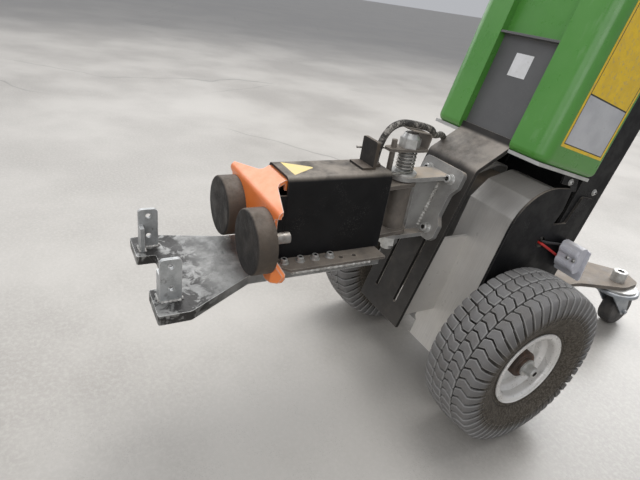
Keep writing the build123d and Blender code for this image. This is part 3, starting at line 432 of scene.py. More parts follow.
def seams(name, routes, thick, pitch, body):
    mesh = bmesh.new()
    for first, last in routes:
        ahead = (last - first).normalized()
        side = ahead.orthogonal().normalized()
        upper = ahead.cross(side)
        steps = max(8, round((last - first).length / pitch * RIPPLE_STEPS))
        past = None
        for k in range(steps + 1):
            ripple = RIPPLE_DEEP * (math.sin(2 * math.pi * k / RIPPLE_STEPS) - 1)
            swell = thick * (1 + ripple + random.uniform(-UNEVEN, UNEVEN))
            swell *= 0.4 if k in (0, steps) else 1.0
            around = []
            for turn in (2 * math.pi * i / SEAM_SIDES for i in range(SEAM_SIDES)):
                spread = swell * (math.cos(turn) * side + math.sin(turn) * upper)
                around.append(mesh.verts.new(first + (last - first) * k / steps + spread))
            if past:
                bridge(mesh, past, around)
            else:
                mesh.faces.new(around)
            past = around
        mesh.faces.new(past)
    piece(name, mesh, weld, body, 60.0)


seams("strip_welds", [(mm(side * SEAM_X, SEAM_FROM, SEAM_Z), mm(side * SEAM_X, SEAM_TO, SEAM_Z))
                      for side in (-1, 1)], SEAM_R, SEAM_RIPPLE, "coupling_arm")
seams("lug_welds", [(mm(side * x0, y0, LUG_SEAM_Z), mm(side * x1, y1, LUG_SEAM_Z))
                    for side in (-1, 1) for x0, y0, x1, y1 in LUG_SEAMS], LUG_SEAM_R, LUG_RIPPLE, "coupling_arm")

# The clamp is one folded plate in orange paint, chipped down to bare metal along its edges. Its upward faces are
# painted paler, partly dust and partly a painted highlight. It slides out of the arm to press a castor or axle
# against the lugs.
chip_values = {"Width": 0.0022, "Scale": 120.0, "Start": 0.14, "End": 0.26}
orange = layered("orange_paint", 0.35, 0.0, (0.88, 0.235, 0.04), [
    (CLOUDY, {"Scale": 9.0}, (0.78, 0.18, 0.03), 1.0),
    # Faces turned upward are painted paler orange: partly dust, partly a painted highlight.
    (UPWARD_PATCHES, {"Scale": 22.0}, (0.88, 0.37, 0.2), 0.7),
    (SPECKS, {"Scale": 220.0, "Start": 0.55, "End": 0.6}, (0.25, 0.12, 0.08), 0.7),
    (WORN, chip_values, (0.52, 0.47, 0.42), 0.95),
], patches=(WORN, chip_values, 0.34, 0.6), Coat_Weight=0.5, Coat_Roughness=0.25)
dress(orange, "clamp_plate")

# The buffers and the limit block are hard black rubber, nearly clean on the face and brown-grey with dust
# round the rim. Studs of dull steel hold the buffers to the clamp.
hard_rubber, tree, shader = material("hard_rubber", 0.6)
ahead = add(tree, "SeparateXYZ", {0: add(tree, "NewGeometry").outputs["Normal"]}).outputs["Y"]
colour = blend_colour(tree, ramp(tree, ahead, -0.8, -0.2), (0.022, 0.020, 0.019), (0.085, 0.066, 0.05))
patch = use(tree, CLOUDY, {"Scale": 35.0, "Start": 0.4, "End": 0.7})
colour = blend_colour(tree, patch, colour, (0.06, 0.052, 0.045), 0.55)
colour = blend_colour(tree, use(tree, UPWARD_PATCHES, {"Scale": 60.0}), colour, (0.17, 0.14, 0.115), 0.75)
pale_edge = use(tree, WORN, {"Width": 0.001, "Start": 0.2, "End": 0.45})
colour = blend_colour(tree, pale_edge, colour, (0.14, 0.12, 0.1), 0.5)
tree.links.new(colour, shader.inputs["Base Color"])
shader.inputs["Specular IOR Level"].default_value = 0.3
rough_from(tree, shader, use(tree, CLOUDY, {"Scale": 50.0}), 0.5, 0.75)
bumpy(tree, shader, use(tree, CLOUDY, {"Scale": 260.0, "Start": 0.3, "End": 0.7}), 0.25)
dress(hard_rubber, "buffers", "limit_block")
spring_steel = layered("spring_steel", 0.42, 0.7, (0.38, 0.37, 0.35), [
    (CLOUDY, {"Scale": 120.0}, (0.24, 0.23, 0.215), 1.0),
    (UPWARD_PATCHES, {"Scale": 90.0}, (0.42, 0.37, 0.31), 0.7),
], patches=(CLOUDY, {"Scale": 150.0}, 0.36, 0.6))
dress(spring_steel, "buffer_studs")

# The arm cover is a black sheet folded over the arm, with fine pale specks on its sides and brown dust on its
# top. Its side walls run a little further forward than the top. The actuator inside it pushes the clamp out.
WALL_X, WALL_T = 30.6, 0.003
WALL_OUTLINE = [(-349.5, 283.5), (-349.5, 371.0), (-368.0, 371.0), (-374.0, 366.0), (-374.0, 288.0), (-370.0, 283.5)]
black = layered("black_paint", 0.42, 0.0, (0.005, 0.005, 0.0055), [
    (CLOUDY, {"Scale": 7.0}, (0.010, 0.010, 0.011), 1.0),
    (UPWARD_PATCHES, {"Scale": 14.0}, (0.32, 0.28, 0.235), 0.85),
    (SPECKS, {"Scale": 620.0, "Start": 0.54, "End": 0.66}, (0.26, 0.25, 0.23), 0.35),
    (WORN, {"Width": 0.0007, "Start": 0.28, "End": 0.45}, (0.24, 0.23, 0.21), 0.5),
], patches=(CLOUDY, {"Scale": 40.0}, 0.4, 0.6), Specular_IOR_Level=0.22)
dress(black, "arm_cover")
dress(dusty_steel, "actuator")
dress(zinc, "actuator_rod")


def slab(mesh, outline, rise):
    low = [mesh.verts.new(point) for point in outline]
    top = [mesh.verts.new(point + rise) for point in outline]
    bridge(mesh, low, top)
    mesh.faces.new(low)
    mesh.faces.new(top)


def side_plates(name, x, thick, outline, body):
    mesh = bmesh.new()
    for side in (-1, 1):
        slab(mesh, [mm(side * x, y, z) for y, z in outline], Vector((-side * thick, 0, 0)))
    piece(name, mesh, black, body)


side_plates("cover_mouth", WALL_X, WALL_T, WALL_OUTLINE, "coupling_arm")

# A triangle of thin yellow plastic film is stuck flat on the arm cover, its point to the rear. It is left
# blank, and dust has paled it.
FILM_Z, FILM_T = 394.05, 0.00015
FILM_CORNERS = [(-22, -338.5), (22, -338.5), (1.5, -303.5), (-1.5, -303.5)]
dusty_yellow = layered("dusty_yellow_film", 0.5, 0.0, (0.80, 0.61, 0.17), [
    (CLOUDY, {"Scale": 70.0}, (0.72, 0.56, 0.25), 1.0),
    (UPWARD_PATCHES, {"Scale": 60.0}, (0.62, 0.53, 0.38), 0.45),
])
mesh = bmesh.new()
slab(mesh, [mm(x, y, FILM_Z) for x, y in FILM_CORNERS], Vector((0, 0, FILM_T)))
piece("cover_triangle", mesh, dusty_yellow, "coupling_arm")

# The hinge bracket is a galvanised flange with a web and two eye plates, screwed to the front plate. Brown
# dust lies on its upper eye, and a pale wavy weld runs down each side of the web.
FLANGE_LEAN = math.radians(16.1)
FLANGE_FOOT = (-143.7, 139.9)
FLANGE_SCREW_X, FLANGE_SCREWS_UP = 24.2, (164.0, 243.0)
WEB_SEAM_X, WEB_SEAM_FROM, WEB_SEAM_TO, WEB_SEAM_OUT = 5.6, 159.0, 236.0, 8.6
WEB_SEAM_R, WEB_RIPPLE = 0.0034, 0.005
bracket_steel = layered("bracket_steel", 0.5, 0.4, (0.27, 0.265, 0.255), [
    (CLOUDY, {"Scale": 26.0}, (0.37, 0.365, 0.35), 1.0),
    (UPWARD_PATCHES, {"Scale": 22.0}, (0.52, 0.43, 0.34), 0.95),
    (SPECKS, {"Scale": 300.0, "Start": 0.5, "End": 0.62}, (0.2, 0.14, 0.1), 0.5),
    (WORN, {"Start": 0.2, "End": 0.35}, (0.68, 0.68, 0.67), 0.6),
], patches=(UPWARD_PATCHES, {"Scale": 22.0}, 0.42, 0.85), grain=(CLOUDY, fine_grain(160.0), 0.25))
dress(bracket_steel, "hinge_bracket")


def aimed(spot, normal, twist=0.0):
    turn = Vector(normal).to_track_quat("Z", "Y").to_matrix().to_4x4()
    return Matrix.Translation(spot) @ turn @ Matrix.Rotation(math.radians(twist), 4, "Z")


def on_flange(x, up, out=8.0):
    back, foot_z = FLANGE_FOOT
    return mm(x, back + up * math.sin(FLANGE_LEAN) - out * math.cos(FLANGE_LEAN),
              foot_z + up * math.cos(FLANGE_LEAN) + out * math.sin(FLANGE_LEAN))


flange_out = Vector((0, -math.cos(FLANGE_LEAN), math.sin(FLANGE_LEAN)))
screws("flange_screws", [aimed(on_flange(side * FLANGE_SCREW_X, up), flange_out, up + 9 * side)
                         for side in (-1, 1) for up in FLANGE_SCREWS_UP], "chassis",
       head_r=0.0062, head_h=0.0075, socket_r=0.0036, washer_r=0.0082, washer_t=0.0016)
seams("bracket_welds", [(on_flange(side * WEB_SEAM_X, WEB_SEAM_FROM, WEB_SEAM_OUT),
                         on_flange(side * WEB_SEAM_X, WEB_SEAM_TO, WEB_SEAM_OUT)) for side in (-1, 1)],
      WEB_SEAM_R, WEB_RIPPLE, "chassis")

# The knuckles of the arm swing on one zinc plated pivot bolt. A keeper plate of plain steel holds the spring
# down and carries the post that the spring's legs close on.
dress(dusty_steel, "arm_knuckles", "keeper")
dress(zinc, "pivot_bolt")

# The centring spring is one round wire wound round the pivot bolt. Its two long legs run forward and hold the
# post and the limit block between them, so they bend with the arm.
COIL_R, COIL_HIGH, COIL_STEPS, COIL_TURN = 0.0119, 0.0276, 132, 15
COIL_FOOT = mm(0, -155, 385.65)
LEG_X, LEG_REACH, LEG_STEPS = 0.0205, 0.073, 14
WIRE_R, WIRE_SIDES = 0.0016, 12
SPRING_BEND = (-170, -220)


def tube(mesh, spots, section):
    side, past = Vector((1, 0, 0)), None
    for k, spot in enumerate(spots):
        ahead = (spots[min(k + 1, len(spots) - 1)] - spots[max(k - 1, 0)]).normalized()
        side = (side - side.dot(ahead) * ahead).normalized()
        over = ahead.cross(side)
        radii = section(k)
        turns = [2 * math.pi * i / len(radii) for i in range(len(radii))]
        around = [mesh.verts.new(spot + radius * (math.cos(turn) * side + math.sin(turn) * over))
                  for turn, radius in zip(turns, radii)]
        if past:
            bridge(mesh, past, around)
        else:
            mesh.faces.new(around)
        past = around
    mesh.faces.new(past)


def across_hinge(name, mesh, finish, node, bend):
    made = finished(mesh, name, finish)
    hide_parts(node)
    first_y, last_y = bend
    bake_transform(made, "chassis", "coupling_arm", start=mm(0, first_y, 400), end=mm(0, last_y, 400))


coil = []
for k in range(COIL_STEPS + 1):
    turn = math.radians(COIL_TURN * k)
    coil.append(COIL_FOOT + Vector((COIL_R * math.cos(turn), COIL_R * math.sin(turn), COIL_HIGH * k / COIL_STEPS)))
low_end = COIL_FOOT + Vector((LEG_X, -LEG_REACH, 0))
high_end = COIL_FOOT + Vector((-LEG_X, -LEG_REACH, COIL_HIGH))
low_leg = [coil[0].lerp(low_end, k / LEG_STEPS) for k in range(LEG_STEPS, 0, -1)]
high_leg = [coil[-1].lerp(high_end, k / LEG_STEPS) for k in range(1, LEG_STEPS + 1)]
mesh = bmesh.new()
tube(mesh, low_leg + coil + high_leg, lambda k: [WIRE_R] * WIRE_SIDES)
across_hinge("spring_wire", mesh, spring_steel, "centring_spring", SPRING_BEND)

# The lead to the clamp's drive is a braided sleeve, mottled with grease. It arches over the keeper's strap
# and is let into the arm cover through a rubber ring.
LEAD_CORNERS = [(0, -208, 394.3), (0, -208, 457.2), (0, -121.4, 446.6), (-4.8, -111.8, 431.9), (-57, -43, 420.5),
                (-57, -35, 404.5)]
SLEEVE_R, SLEEVE_RELIEF, SLEEVE_SIDES, STRANDS, LAY = 0.0048, 0.1, 40, 5, 0.0042
LEAD_BEND = (-150, -203)
RING_PROFILE = [(0.0084, 0.0), (0.0084, 0.0018), (0.0072, 0.0038), (0.0056, 0.0042), (0.0046, 0.0034)]
RING_PLACE, FINE_FACETS = (0, -208, 394.0), 28
braid, tree, shader = material("braid", 0.8)
place = add(tree, "TexCoord").outputs["Object"]
weave = add(tree, "TexVoronoi", {"Vector": place, "Scale": 620.0}).outputs["Distance"]
colour = blend_colour(tree, ramp(tree, weave, 0.2, 0.6), (0.24, 0.222, 0.198), (0.035, 0.031, 0.028))
for scale, start, end, tone, share in ((150.0, 0.46, 0.56, (0.46, 0.43, 0.385), 0.6),
                                       (60.0, 0.48, 0.58, (0.018, 0.016, 0.015), 0.85)):
    patch = use(tree, CLOUDY, {"Scale": scale, "Start": start, "End": end})
    colour = blend_colour(tree, patch, colour, tone, share)
tree.links.new(colour, shader.inputs["Base Color"])
bumpy(tree, shader, weave, 0.8)

curve = bpy.data.curves.new("lead_route", "CURVE")
curve.dimensions = "3D"
curve.resolution_u = 80
spline = curve.splines.new("NURBS")
spline.points.add(len(LEAD_CORNERS) - 1)
for point, corner in zip(spline.points, LEAD_CORNERS):
    point.co = (*mm(*corner), 1)
spline.order_u = 3
spline.use_endpoint_u = True
route = bpy.data.objects.new("lead_route", curve)
bpy.context.scene.collection.objects.link(route)
bpy.context.view_layer.update()
spots = [vert.co.copy() for vert in bpy.data.meshes.new_from_object(route).vertices]
bpy.data.objects.remove(route)
gone = [0.0]
for near_spot, far_spot in zip(spots, spots[1:]):
    gone.append(gone[-1] + (far_spot - near_spot).length)


def sleeve(k):
    radii = []
    for i in range(SLEEVE_SIDES):
        turn, wind = STRANDS * 2 * math.pi * i / SLEEVE_SIDES, math.pi * gone[k] / LAY
        crown = max(abs(math.cos(turn + wind)), abs(math.cos(turn - wind)))
        radii.append(SLEEVE_R * (1 - SLEEVE_RELIEF + SLEEVE_RELIEF * crown))
    return radii


mesh = bmesh.new()
tube(mesh, spots, sleeve)
across_hinge("braided_lead", mesh, braid, "arm_cable", LEAD_BEND)
mesh = bmesh.new()
turned(mesh, aimed(mm(*RING_PLACE), (0, 0, 1)), RING_PROFILE, FINE_FACETS)
piece("lead_ring", mesh, hard_rubber, "coupling_arm")

# The chassis front plate is a slotted sheet with a folded top, in dark grey-brown paint. Dust makes its fold
# much paler than its face. The battery block behind the hood has the same dark finish.
grey_paint = layered("grey_paint", 0.5, 0.0, (0.014, 0.013, 0.012), [
    (CLOUDY, {"Scale": 6.0}, (0.026, 0.024, 0.022), 1.0),
    (UPWARD_PATCHES, {"Scale": 7.0}, (0.46, 0.405, 0.35), 0.85),
    (CLOUDY, {"Scale": 28.0, "Start": 0.52, "End": 0.75}, (0.09, 0.076, 0.063), 0.3),
    (WORN, {"Width": 0.0010, "Start": 0.25, "End": 0.45}, (0.26, 0.235, 0.21), 0.5),
], patches=(CLOUDY, {"Scale": 30.0}, 0.42, 0.68), Specular_IOR_Level=0.35)
dress(grey_paint, "front_plate", "battery_block")


# The drive casing is two wraps of brushed stainless sheet between black cheeks, with webs of the same sheet
# behind the front plate. The drive unit inside it and the beam at its back are bare steel.
def streaks(tree, given):
    long_way = add(tree, "Mapping", {"Vector": add(tree, "TexCoord").outputs["Object"]})
    scale = add(tree, "CombineXYZ", {"X": given["X"], "Y": given["Y"], "Z": given["Z"]}).outputs[0]
    tree.links.new(scale, long_way.inputs["Scale"])
    noise = add(tree, "TexNoise", {"Vector": long_way.outputs[0], "Scale": 1.0, "Detail": 4.0, "Roughness": 0.6})
    return ramp(tree, noise.outputs["Fac"], given["Start"], given["End"])


STREAKS = effect("Streaks", {"X": 8.0, "Y": 8.0, "Z": 300.0, "Start": 0.3, "End": 0.7}, streaks)
brush_values = {"X": 900.0, "Y": 14.0, "Z": 14.0, "Start": 0.25, "End": 0.75}
stainless = layered("stainless", 0.36, 0.55, (0.62, 0.60, 0.57), [
    (STREAKS, brush_values, (0.70, 0.68, 0.645), 1.0),
    (CLOUDY, {"Scale": 8.0, "Start": 0.4, "End": 0.75}, (0.50, 0.47, 0.435), 0.6),
    (CLOUDY, {"Scale": 70.0, "Start": 0.6, "End": 0.75}, (0.28, 0.26, 0.24), 0.35),
], patches=(CLOUDY, {"Scale": 11.0}, 0.3, 0.5), grain=(STREAKS, brush_values, 0.06))
dress(stainless, "casing_wraps", "plate_webs")
dress(black, "side_cheeks")
dress(bracket_steel, "drive_unit")
dress(dusty_steel, "rear_beam")

# The tyres are moulded grey rubber: four rows of blocks parted by zigzag grooves, whose outer rows fade into ribs
# down a brownish side wall. Block tops are paler from wear; grooves and block sides are near black, painted shade.
# Sizes are in millimetres, across and along the tread.
WHEEL_X, TYRE_R = 165.0, 138.0
WALL_LINE = [(0.0, 138.0), (12.0, 137.9), (21.5, 136.9), (30.0, 135.6), (38.0, 134.0), (42.0, 132.6), (44.2, 129.8),
             (45.6, 125.0), (46.8, 119.0), (47.6, 113.0), (48.0, 107.0), (47.4, 100.0), (45.6, 92.5), (42.6, 85.0),
             (38.6, 78.0), (35.4, 72.0), (33.6, 67.0), (33.3, 64.5)]
WALL_ROWS, WALL_FACETS = 96, 144
TREAD_DEEP, ROOT = 5.6, 0.3
FADE_FROM, FADE_TO = 40.0, 80.0
PITCHES = 50
GROOVE, GROOVE_END = 3.4, 9.0
EDGE, SKIRT, BLOCK_STEPS = 1.5, 0.35, 6
ROUNDED, PINCH, PINCH_LOW = 0.16, 0.9, 1.2
ROWS = [
    # inner edge, outer edge, cross groove as (across, along) points
    (-78.0, -22.3, [(-78.0, 8.6), (-60.0, 5.8), (-46.0, 4.3), (-36.0, 1.8), (-22.1, 0.0)]),
    (-20.0, -1.0, [(-20.0, 0.7), (-11.5, -5.2), (-1.0, -4.0)]),
    (1.0, 20.0, [(1.0, 4.2), (8.5, 6.0), (20.0, -0.9)]),
    (22.3, 78.0, [(22.1, 7.0), (31.0, 11.5), (44.0, 5.0), (60.0, 1.4), (78.0, -1.4)]),
]
MOULD_LINES, LINE_HALF = (0.1012, 0.0715), 0.0006
rubber, tree, shader = material("tyre_rubber", 0.72)
split = add(tree, "SeparateXYZ", {0: add(tree, "NewGeometry").outputs["Position"]})
across_y = add(tree, "Math", {0: split.outputs["Y"], 1: AXLE_Y}, operation="SUBTRACT").outputs[0]
across_z = add(tree, "Math", {0: split.outputs["Z"], 1: TYRE_R * 0.001}, operation="SUBTRACT").outputs[0]
flat = add(tree, "CombineXYZ", {"X": 0.0, "Y": across_y, "Z": across_z}).outputs[0]
radius = add(tree, "VectorMath", {0: flat}, operation="LENGTH").outputs["Value"]
top_wear_and_groove_shade = add(tree, "Attribute", attribute_name="wear_and_shade").outputs["Fac"]
pale_rim = add(tree, "Attribute", attribute_name="rims").outputs["Fac"]
# Block tops get the pale grey of wear; grooves and block sides get near black, painted shade.
colour = blend_colour(tree, top_wear_and_groove_shade, (0.018, 0.016, 0.014), (0.172, 0.168, 0.166))
colour = blend_colour(tree, pale_rim, colour, (0.36, 0.355, 0.345), 0.9)
patch = use(tree, CLOUDY, {"Scale": 30.0, "Start": 0.4, "End": 0.7})
colour = blend_colour(tree, patch, colour, (0.125, 0.112, 0.10), 0.35)
mottle = use(tree, CLOUDY, {"Scale": 310.0, "Start": 0.4, "End": 0.62})
brown = blend_colour(tree, mottle, (0.05, 0.042, 0.033), (0.115, 0.10, 0.08))
colour = blend_colour(tree, ramp(tree, radius, 0.114, 0.101), colour, brown, 0.94)
dots = use(tree, SPECKS, {"Scale": 420.0, "Start": 0.45, "End": 0.65})
colour = blend_colour(tree, dots, colour, (0.24, 0.205, 0.17), 0.35)
lines = []
for at in MOULD_LINES:
    near_line = add(tree, "Math", {0: radius, 1: at, 2: LINE_HALF}, operation="COMPARE").outputs[0]
    lines.append(ramp(tree, near_line, 0.0, 1.0))
mark = add(tree, "Math", {0: lines[0], 1: lines[1]}, operation="ADD").outputs[0]
colour = blend_colour(tree, mark, colour, (0.02, 0.018, 0.016), 0.7)
pale_edge = use(tree, WORN, {"Width": 0.0008, "Scale": 60.0, "Start": 0.2, "End": 0.45})
colour = blend_colour(tree, pale_edge, colour, (0.27, 0.26, 0.25), 0.6)
tree.links.new(colour, shader.inputs["Base Color"])
shader.inputs["Specular IOR Level"].default_value = 0.3
rough_from(tree, shader, use(tree, CLOUDY, {"Scale": 40.0}), 0.62, 0.85)
bumpy(tree, shader, use(tree, CLOUDY, fine_grain(300.0)), 0.3)


def wall_point(v):
    side, left = (1, v) if v >= 0 else (-1, -v)
    for (x0, r0), (x1, r1) in zip(WALL_LINE, WALL_LINE[1:]):
        run = math.hypot(x1 - x0, r1 - r0)
        if left <= run:
            share = left / run
            normal = Vector((r0 - r1, x1 - x0)).normalized()
            return side * (x0 + share * (x1 - x0)), r0 + share * (r1 - r0), Vector((side * normal.x, normal.y))
        left -= run
    return side * WALL_LINE[-1][0], WALL_LINE[-1][1] - left, Vector((side, 0))


def faded(v):
    return min(1, max(0, (abs(v) - FADE_FROM) / (FADE_TO - FADE_FROM)))


def on_tyre(angle, v, sink, side):
    x, r, normal = wall_point(v)
    x, r = x - normal.x * sink, r - normal.y * sink
    return Vector((side * (WHEEL_X + x) * 0.001, r * math.sin(angle) * 0.001 + AXLE_Y,
                   (r * math.cos(angle) + TYRE_R) * 0.001))


def along(points, v):
    for (v0, u0), (v1, u1) in zip(points, points[1:]):
        if v <= v1:
            return u0 + (u1 - u0) * (v - v0) / (v1 - v0)
    return points[-1][1]


def block(mesh, wear_and_shade, rims, row, side, turn):
    v0, v1, points = row
    places = {v0 + EDGE, v1 - EDGE} | {v for v, _ in points[1:-1]}
    places |= {v0 + EDGE + (v1 - v0 - 2 * EDGE) * k / BLOCK_STEPS for k in range(BLOCK_STEPS + 1)}
    levels = [(v0 - SKIRT, 1.0, PINCH_LOW), (v0, ROUNDED, PINCH)] + [(v, 0.0, 0.0) for v in sorted(places)]
    levels += [(v1, ROUNDED, PINCH), (v1 + SKIRT, 1.0, PINCH_LOW)]
    shell = []
    for v, v_sink, pinch in levels:
        gap = GROOVE + (GROOVE_END - GROOVE) * faded(v) + 2 * pinch
        left = (along(points, min(max(v, v0), v1)) + gap / 2) / TYRE_R + turn
        wide = 2 * math.pi / PITCHES - gap / TYRE_R
        line = []
        for share, sink in ((-SKIRT / TYRE_R, 1.0), (0.0, ROUNDED), (EDGE / TYRE_R, 0.0), (wide / 2, 0.0),
                            (wide - EDGE / TYRE_R, 0.0), (wide, ROUNDED), (wide + SKIRT / TYRE_R, 1.0)):
            deep = max(sink, v_sink)
            spot = on_tyre(left + share, v, deep * (TREAD_DEEP * (1 - faded(v)) + ROOT), side)
            vert = mesh.verts.new(spot)
            # Block tops are marked for the wear colour; groove floors and block sides are left for the painted
            # shade.
            vert[wear_and_shade] = (1.0 - 0.5 * faded(v)) if deep < 0.5 else 0.0
            vert[rims] = 1.0 if 0.0 < deep < 0.5 else 0.0
            line.append(vert)
        shell.append(line)
    for low_line, high_line in zip(shell, shell[1:]):
        for i in range(len(low_line) - 1):
            mesh.faces.new((low_line[i], low_line[i + 1], high_line[i + 1], high_line[i]))


def tread(side):
    mesh = bmesh.new()
    mesh.verts.layers.float.new("wear_and_shade")
    mesh.verts.layers.float.new("rims")
    wear_and_shade, rims = mesh.verts.layers.float["wear_and_shade"], mesh.verts.layers.float["rims"]
    reach = sum(math.hypot(x1 - x0, r1 - r0) for (x0, r0), (x1, r1) in zip(WALL_LINE, WALL_LINE[1:])) - 0.01
    rows = []
    for k in range(WALL_ROWS + 1):
        v = reach * (2 * k / WALL_ROWS - 1)
        sink = TREAD_DEEP * (1 - faded(v))
        rows.append([mesh.verts.new(on_tyre(2 * math.pi * i / WALL_FACETS, v, sink, side))
                     for i in range(WALL_FACETS)])
    for low_line, high_line in zip(rows, rows[1:]):
        bridge(mesh, low_line, high_line)
    for i in range(PITCHES):
        for row in ROWS:
            block(mesh, wear_and_shade, rims, row, side, 2 * math.pi * i / PITCHES)
    return mesh


for side, label in ((-1, "left"), (1, "right")):
    tyre = piece(f"tread_{label}", tread(side), rubber, f"wheel_{label}")
    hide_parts(f"tyre_{label}")

# The rims are pressed steel dishes in silver paint, stained brown round the middle. The hubs in them are dark
# and rusty, and turn on stub axles that are closed by a low socket screw.
silver = layered("rim_silver", 0.35, 0.25, (0.80, 0.79, 0.77), [
    (CLOUDY, {"Scale": 18.0}, (0.66, 0.645, 0.62), 1.0),
    (SPECKS, {"Scale": 260.0, "Start": 0.5, "End": 0.62}, (0.16, 0.1, 0.06), 0.6),
    (CLOUDY, {"Scale": 45.0, "Start": 0.55, "End": 0.8}, (0.36, 0.29, 0.22), 0.45),
    (WORN, {"Width": 0.0012, "Start": 0.2, "End": 0.4}, (0.82, 0.81, 0.79), 0.6),
], patches=(CLOUDY, {"Scale": 60.0}, 0.26, 0.5))
dress(silver, "rim_left", "rim_right")
rusty = layered("rusty_hub", 0.7, 0.3, (0.05, 0.037, 0.03), [
    (CLOUDY, {"Scale": 50.0}, (0.13, 0.08, 0.055), 1.0),
    (SPECKS, {"Scale": 300.0, "Start": 0.4, "End": 0.6}, (0.3, 0.1, 0.04), 0.7),
    (WORN, {"Width": 0.0012, "Start": 0.2, "End": 0.4}, (0.42, 0.36, 0.3), 0.7),
], grain=(CLOUDY, fine_grain(220.0), 0.4))
dress(rusty, "hub_left", "hub_right")
dress(zinc, "axle_stubs")
for label, end, way in (("left", axle_low.x, -1), ("right", axle_high.x, 1)):
    screws(f"axle_cap_{label}", [aimed(Vector((end, AXLE_Y, TYRE_R * 0.001)), (way, 0, 0), 20)], "chassis",
           head_r=0.0088, head_h=0.0032, socket_r=0.0046, round_up=0.16)

# The castor hangs from a plain steel arm by a zinc plated bolt: a blue-grey pressed fork under a swivel ring,
# and a dark moulded wheel.
CASTOR_X, CASTOR_Y = 49.0, 473.0
dress(dusty_steel, "castor_arm")
dress(zinc, "castor_bolt")
castor_steel = layered("castor_steel", 0.4, 0.7, (0.26, 0.29, 0.32), [
    (CLOUDY, {"Scale": 35.0}, (0.36, 0.38, 0.4), 1.0),
    (UPWARD_PATCHES, {"Scale": 40.0}, (0.36, 0.32, 0.28), 0.6),
], patches=(CLOUDY, {"Scale": 60.0}, 0.3, 0.55))
dress(castor_steel, "castor_fork")
castor_tread = layered("castor_tread", 0.6, 0.0, (0.022, 0.022, 0.024), [
    (CLOUDY, {"Scale": 40.0}, (0.07, 0.065, 0.06), 1.0),
], grain=(CLOUDY, fine_grain(260.0), 0.3))
dress(castor_tread, "castor_wheel")
spot = mm(CASTOR_X, CASTOR_Y, 0)
spot.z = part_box("castor_bolt")[1].z
screws("castor_cap", [aimed(spot, (0, 0, 1), 12)], "chassis",
       head_r=0.0148, head_h=0.0034, socket_r=0.0078, round_up=0.1)

# The hood is a glossy green moulding with two thick legs and stands on a shelf of bare zinc sheet. Between
# the legs lies a centre cover in dark grey paint.
green = layered("green_plastic", 0.28, 0.0, (0.06, 0.235, 0.03), [
    (CLOUDY, {"Scale": 5.0}, (0.08, 0.27, 0.042), 1.0),
    # Faces turned upward are painted a paler green: painted highlight.
    (UPWARD_PATCHES, {"Scale": 12.0}, (0.17, 0.35, 0.13), 0.35),
    (STREAKS, {"X": 60.0, "Y": 60.0, "Z": 9.0, "Start": 0.6, "End": 0.75}, (0.2, 0.36, 0.16), 0.3),
], patches=(CLOUDY, {"Scale": 30.0}, 0.26, 0.4), grain=(CLOUDY, fine_grain(90.0), 0.03),
    Coat_Weight=0.35, Coat_Roughness=0.18)
dress(green, "battery_hood")
sheet_zinc = layered("sheet_zinc", 0.45, 0.3, (0.52, 0.52, 0.50), [
    (CLOUDY, {"Scale": 30.0}, (0.44, 0.435, 0.42), 1.0),
    (UPWARD_PATCHES, {"Scale": 20.0}, (0.36, 0.33, 0.29), 0.4),
], patches=(CLOUDY, {"Scale": 30.0}, 0.4, 0.55))
dress(sheet_zinc, "hood_shelf")
cover_paint = layered("cover_paint", 0.5, 0.0, (0.085, 0.085, 0.087), [
    (CLOUDY, {"Scale": 8.0}, (0.105, 0.105, 0.107), 1.0),
    (UPWARD_PATCHES, {"Scale": 16.0}, (0.15, 0.15, 0.148), 0.4),
    (SPECKS, {"Scale": 500.0, "Start": 0.5, "End": 0.62}, (0.22, 0.21, 0.2), 0.3),
    (WORN, {"Width": 0.0009, "Start": 0.25, "End": 0.45}, (0.3, 0.29, 0.28), 0.5),
], patches=(CLOUDY, {"Scale": 30.0}, 0.4, 0.6))
dress(cover_paint, "centre_cover")

# The label on the hood's side is one printed film, left blank: a yellow field with a thin black line round
# it, and a silver plate in its lower third. It lies 0.06 mm proud of the hood and is 0.16 mm thick.
HOOD_LEAN = math.radians(13.3)
HOOD_Y, HOOD_Z = -22, 432
LABEL_X, LABEL_DEEP, LABEL_UP, LABEL_T = 112.06, 22.9, 29.1, 0.16
LABEL_WIDES = [0.0, 4.2, 5.6, 101.8, 103.2, 107.4]
LABEL_HIGHS = [0.0, 4.2, 5.6, 71.4, 73.4, 234.4, 235.8, 240.0]
LINE_COLUMNS, LINE_ROWS, PLATE_CELL = (1, 3), (1, 3, 5), (2, 2)
yellow = layered("yellow_film", 0.4, 0.0, (0.84, 0.56, 0.02), [
    (CLOUDY, {"Scale": 60.0}, (0.74, 0.49, 0.03), 1.0),
    (CLOUDY, {"Scale": 160.0, "Start": 0.52, "End": 0.66}, (0.45, 0.36, 0.22), 0.5),
], patches=(CLOUDY, {"Scale": 80.0}, 0.3, 0.55))
label_line = layered("label_line", 0.4, 0.0, (0.016, 0.016, 0.016), [
    (CLOUDY, {"Scale": 120.0, "Start": 0.5, "End": 0.8}, (0.08, 0.075, 0.07), 1.0),
])
silver_film = layered("silver_film", 0.38, 0.3, (0.50, 0.51, 0.535), [
    (CLOUDY, {"Scale": 26.0}, (0.58, 0.59, 0.61), 1.0),
    (CLOUDY, {"Scale": 150.0, "Start": 0.6, "End": 0.72}, (0.33, 0.32, 0.31), 0.4),
], patches=(CLOUDY, {"Scale": 60.0}, 0.28, 0.5))


def on_hood(x, deep, up):
    return mm(x, HOOD_Y + deep * math.cos(HOOD_LEAN) + up * math.sin(HOOD_LEAN),
              HOOD_Z - deep * math.sin(HOOD_LEAN) + up * math.cos(HOOD_LEAN))


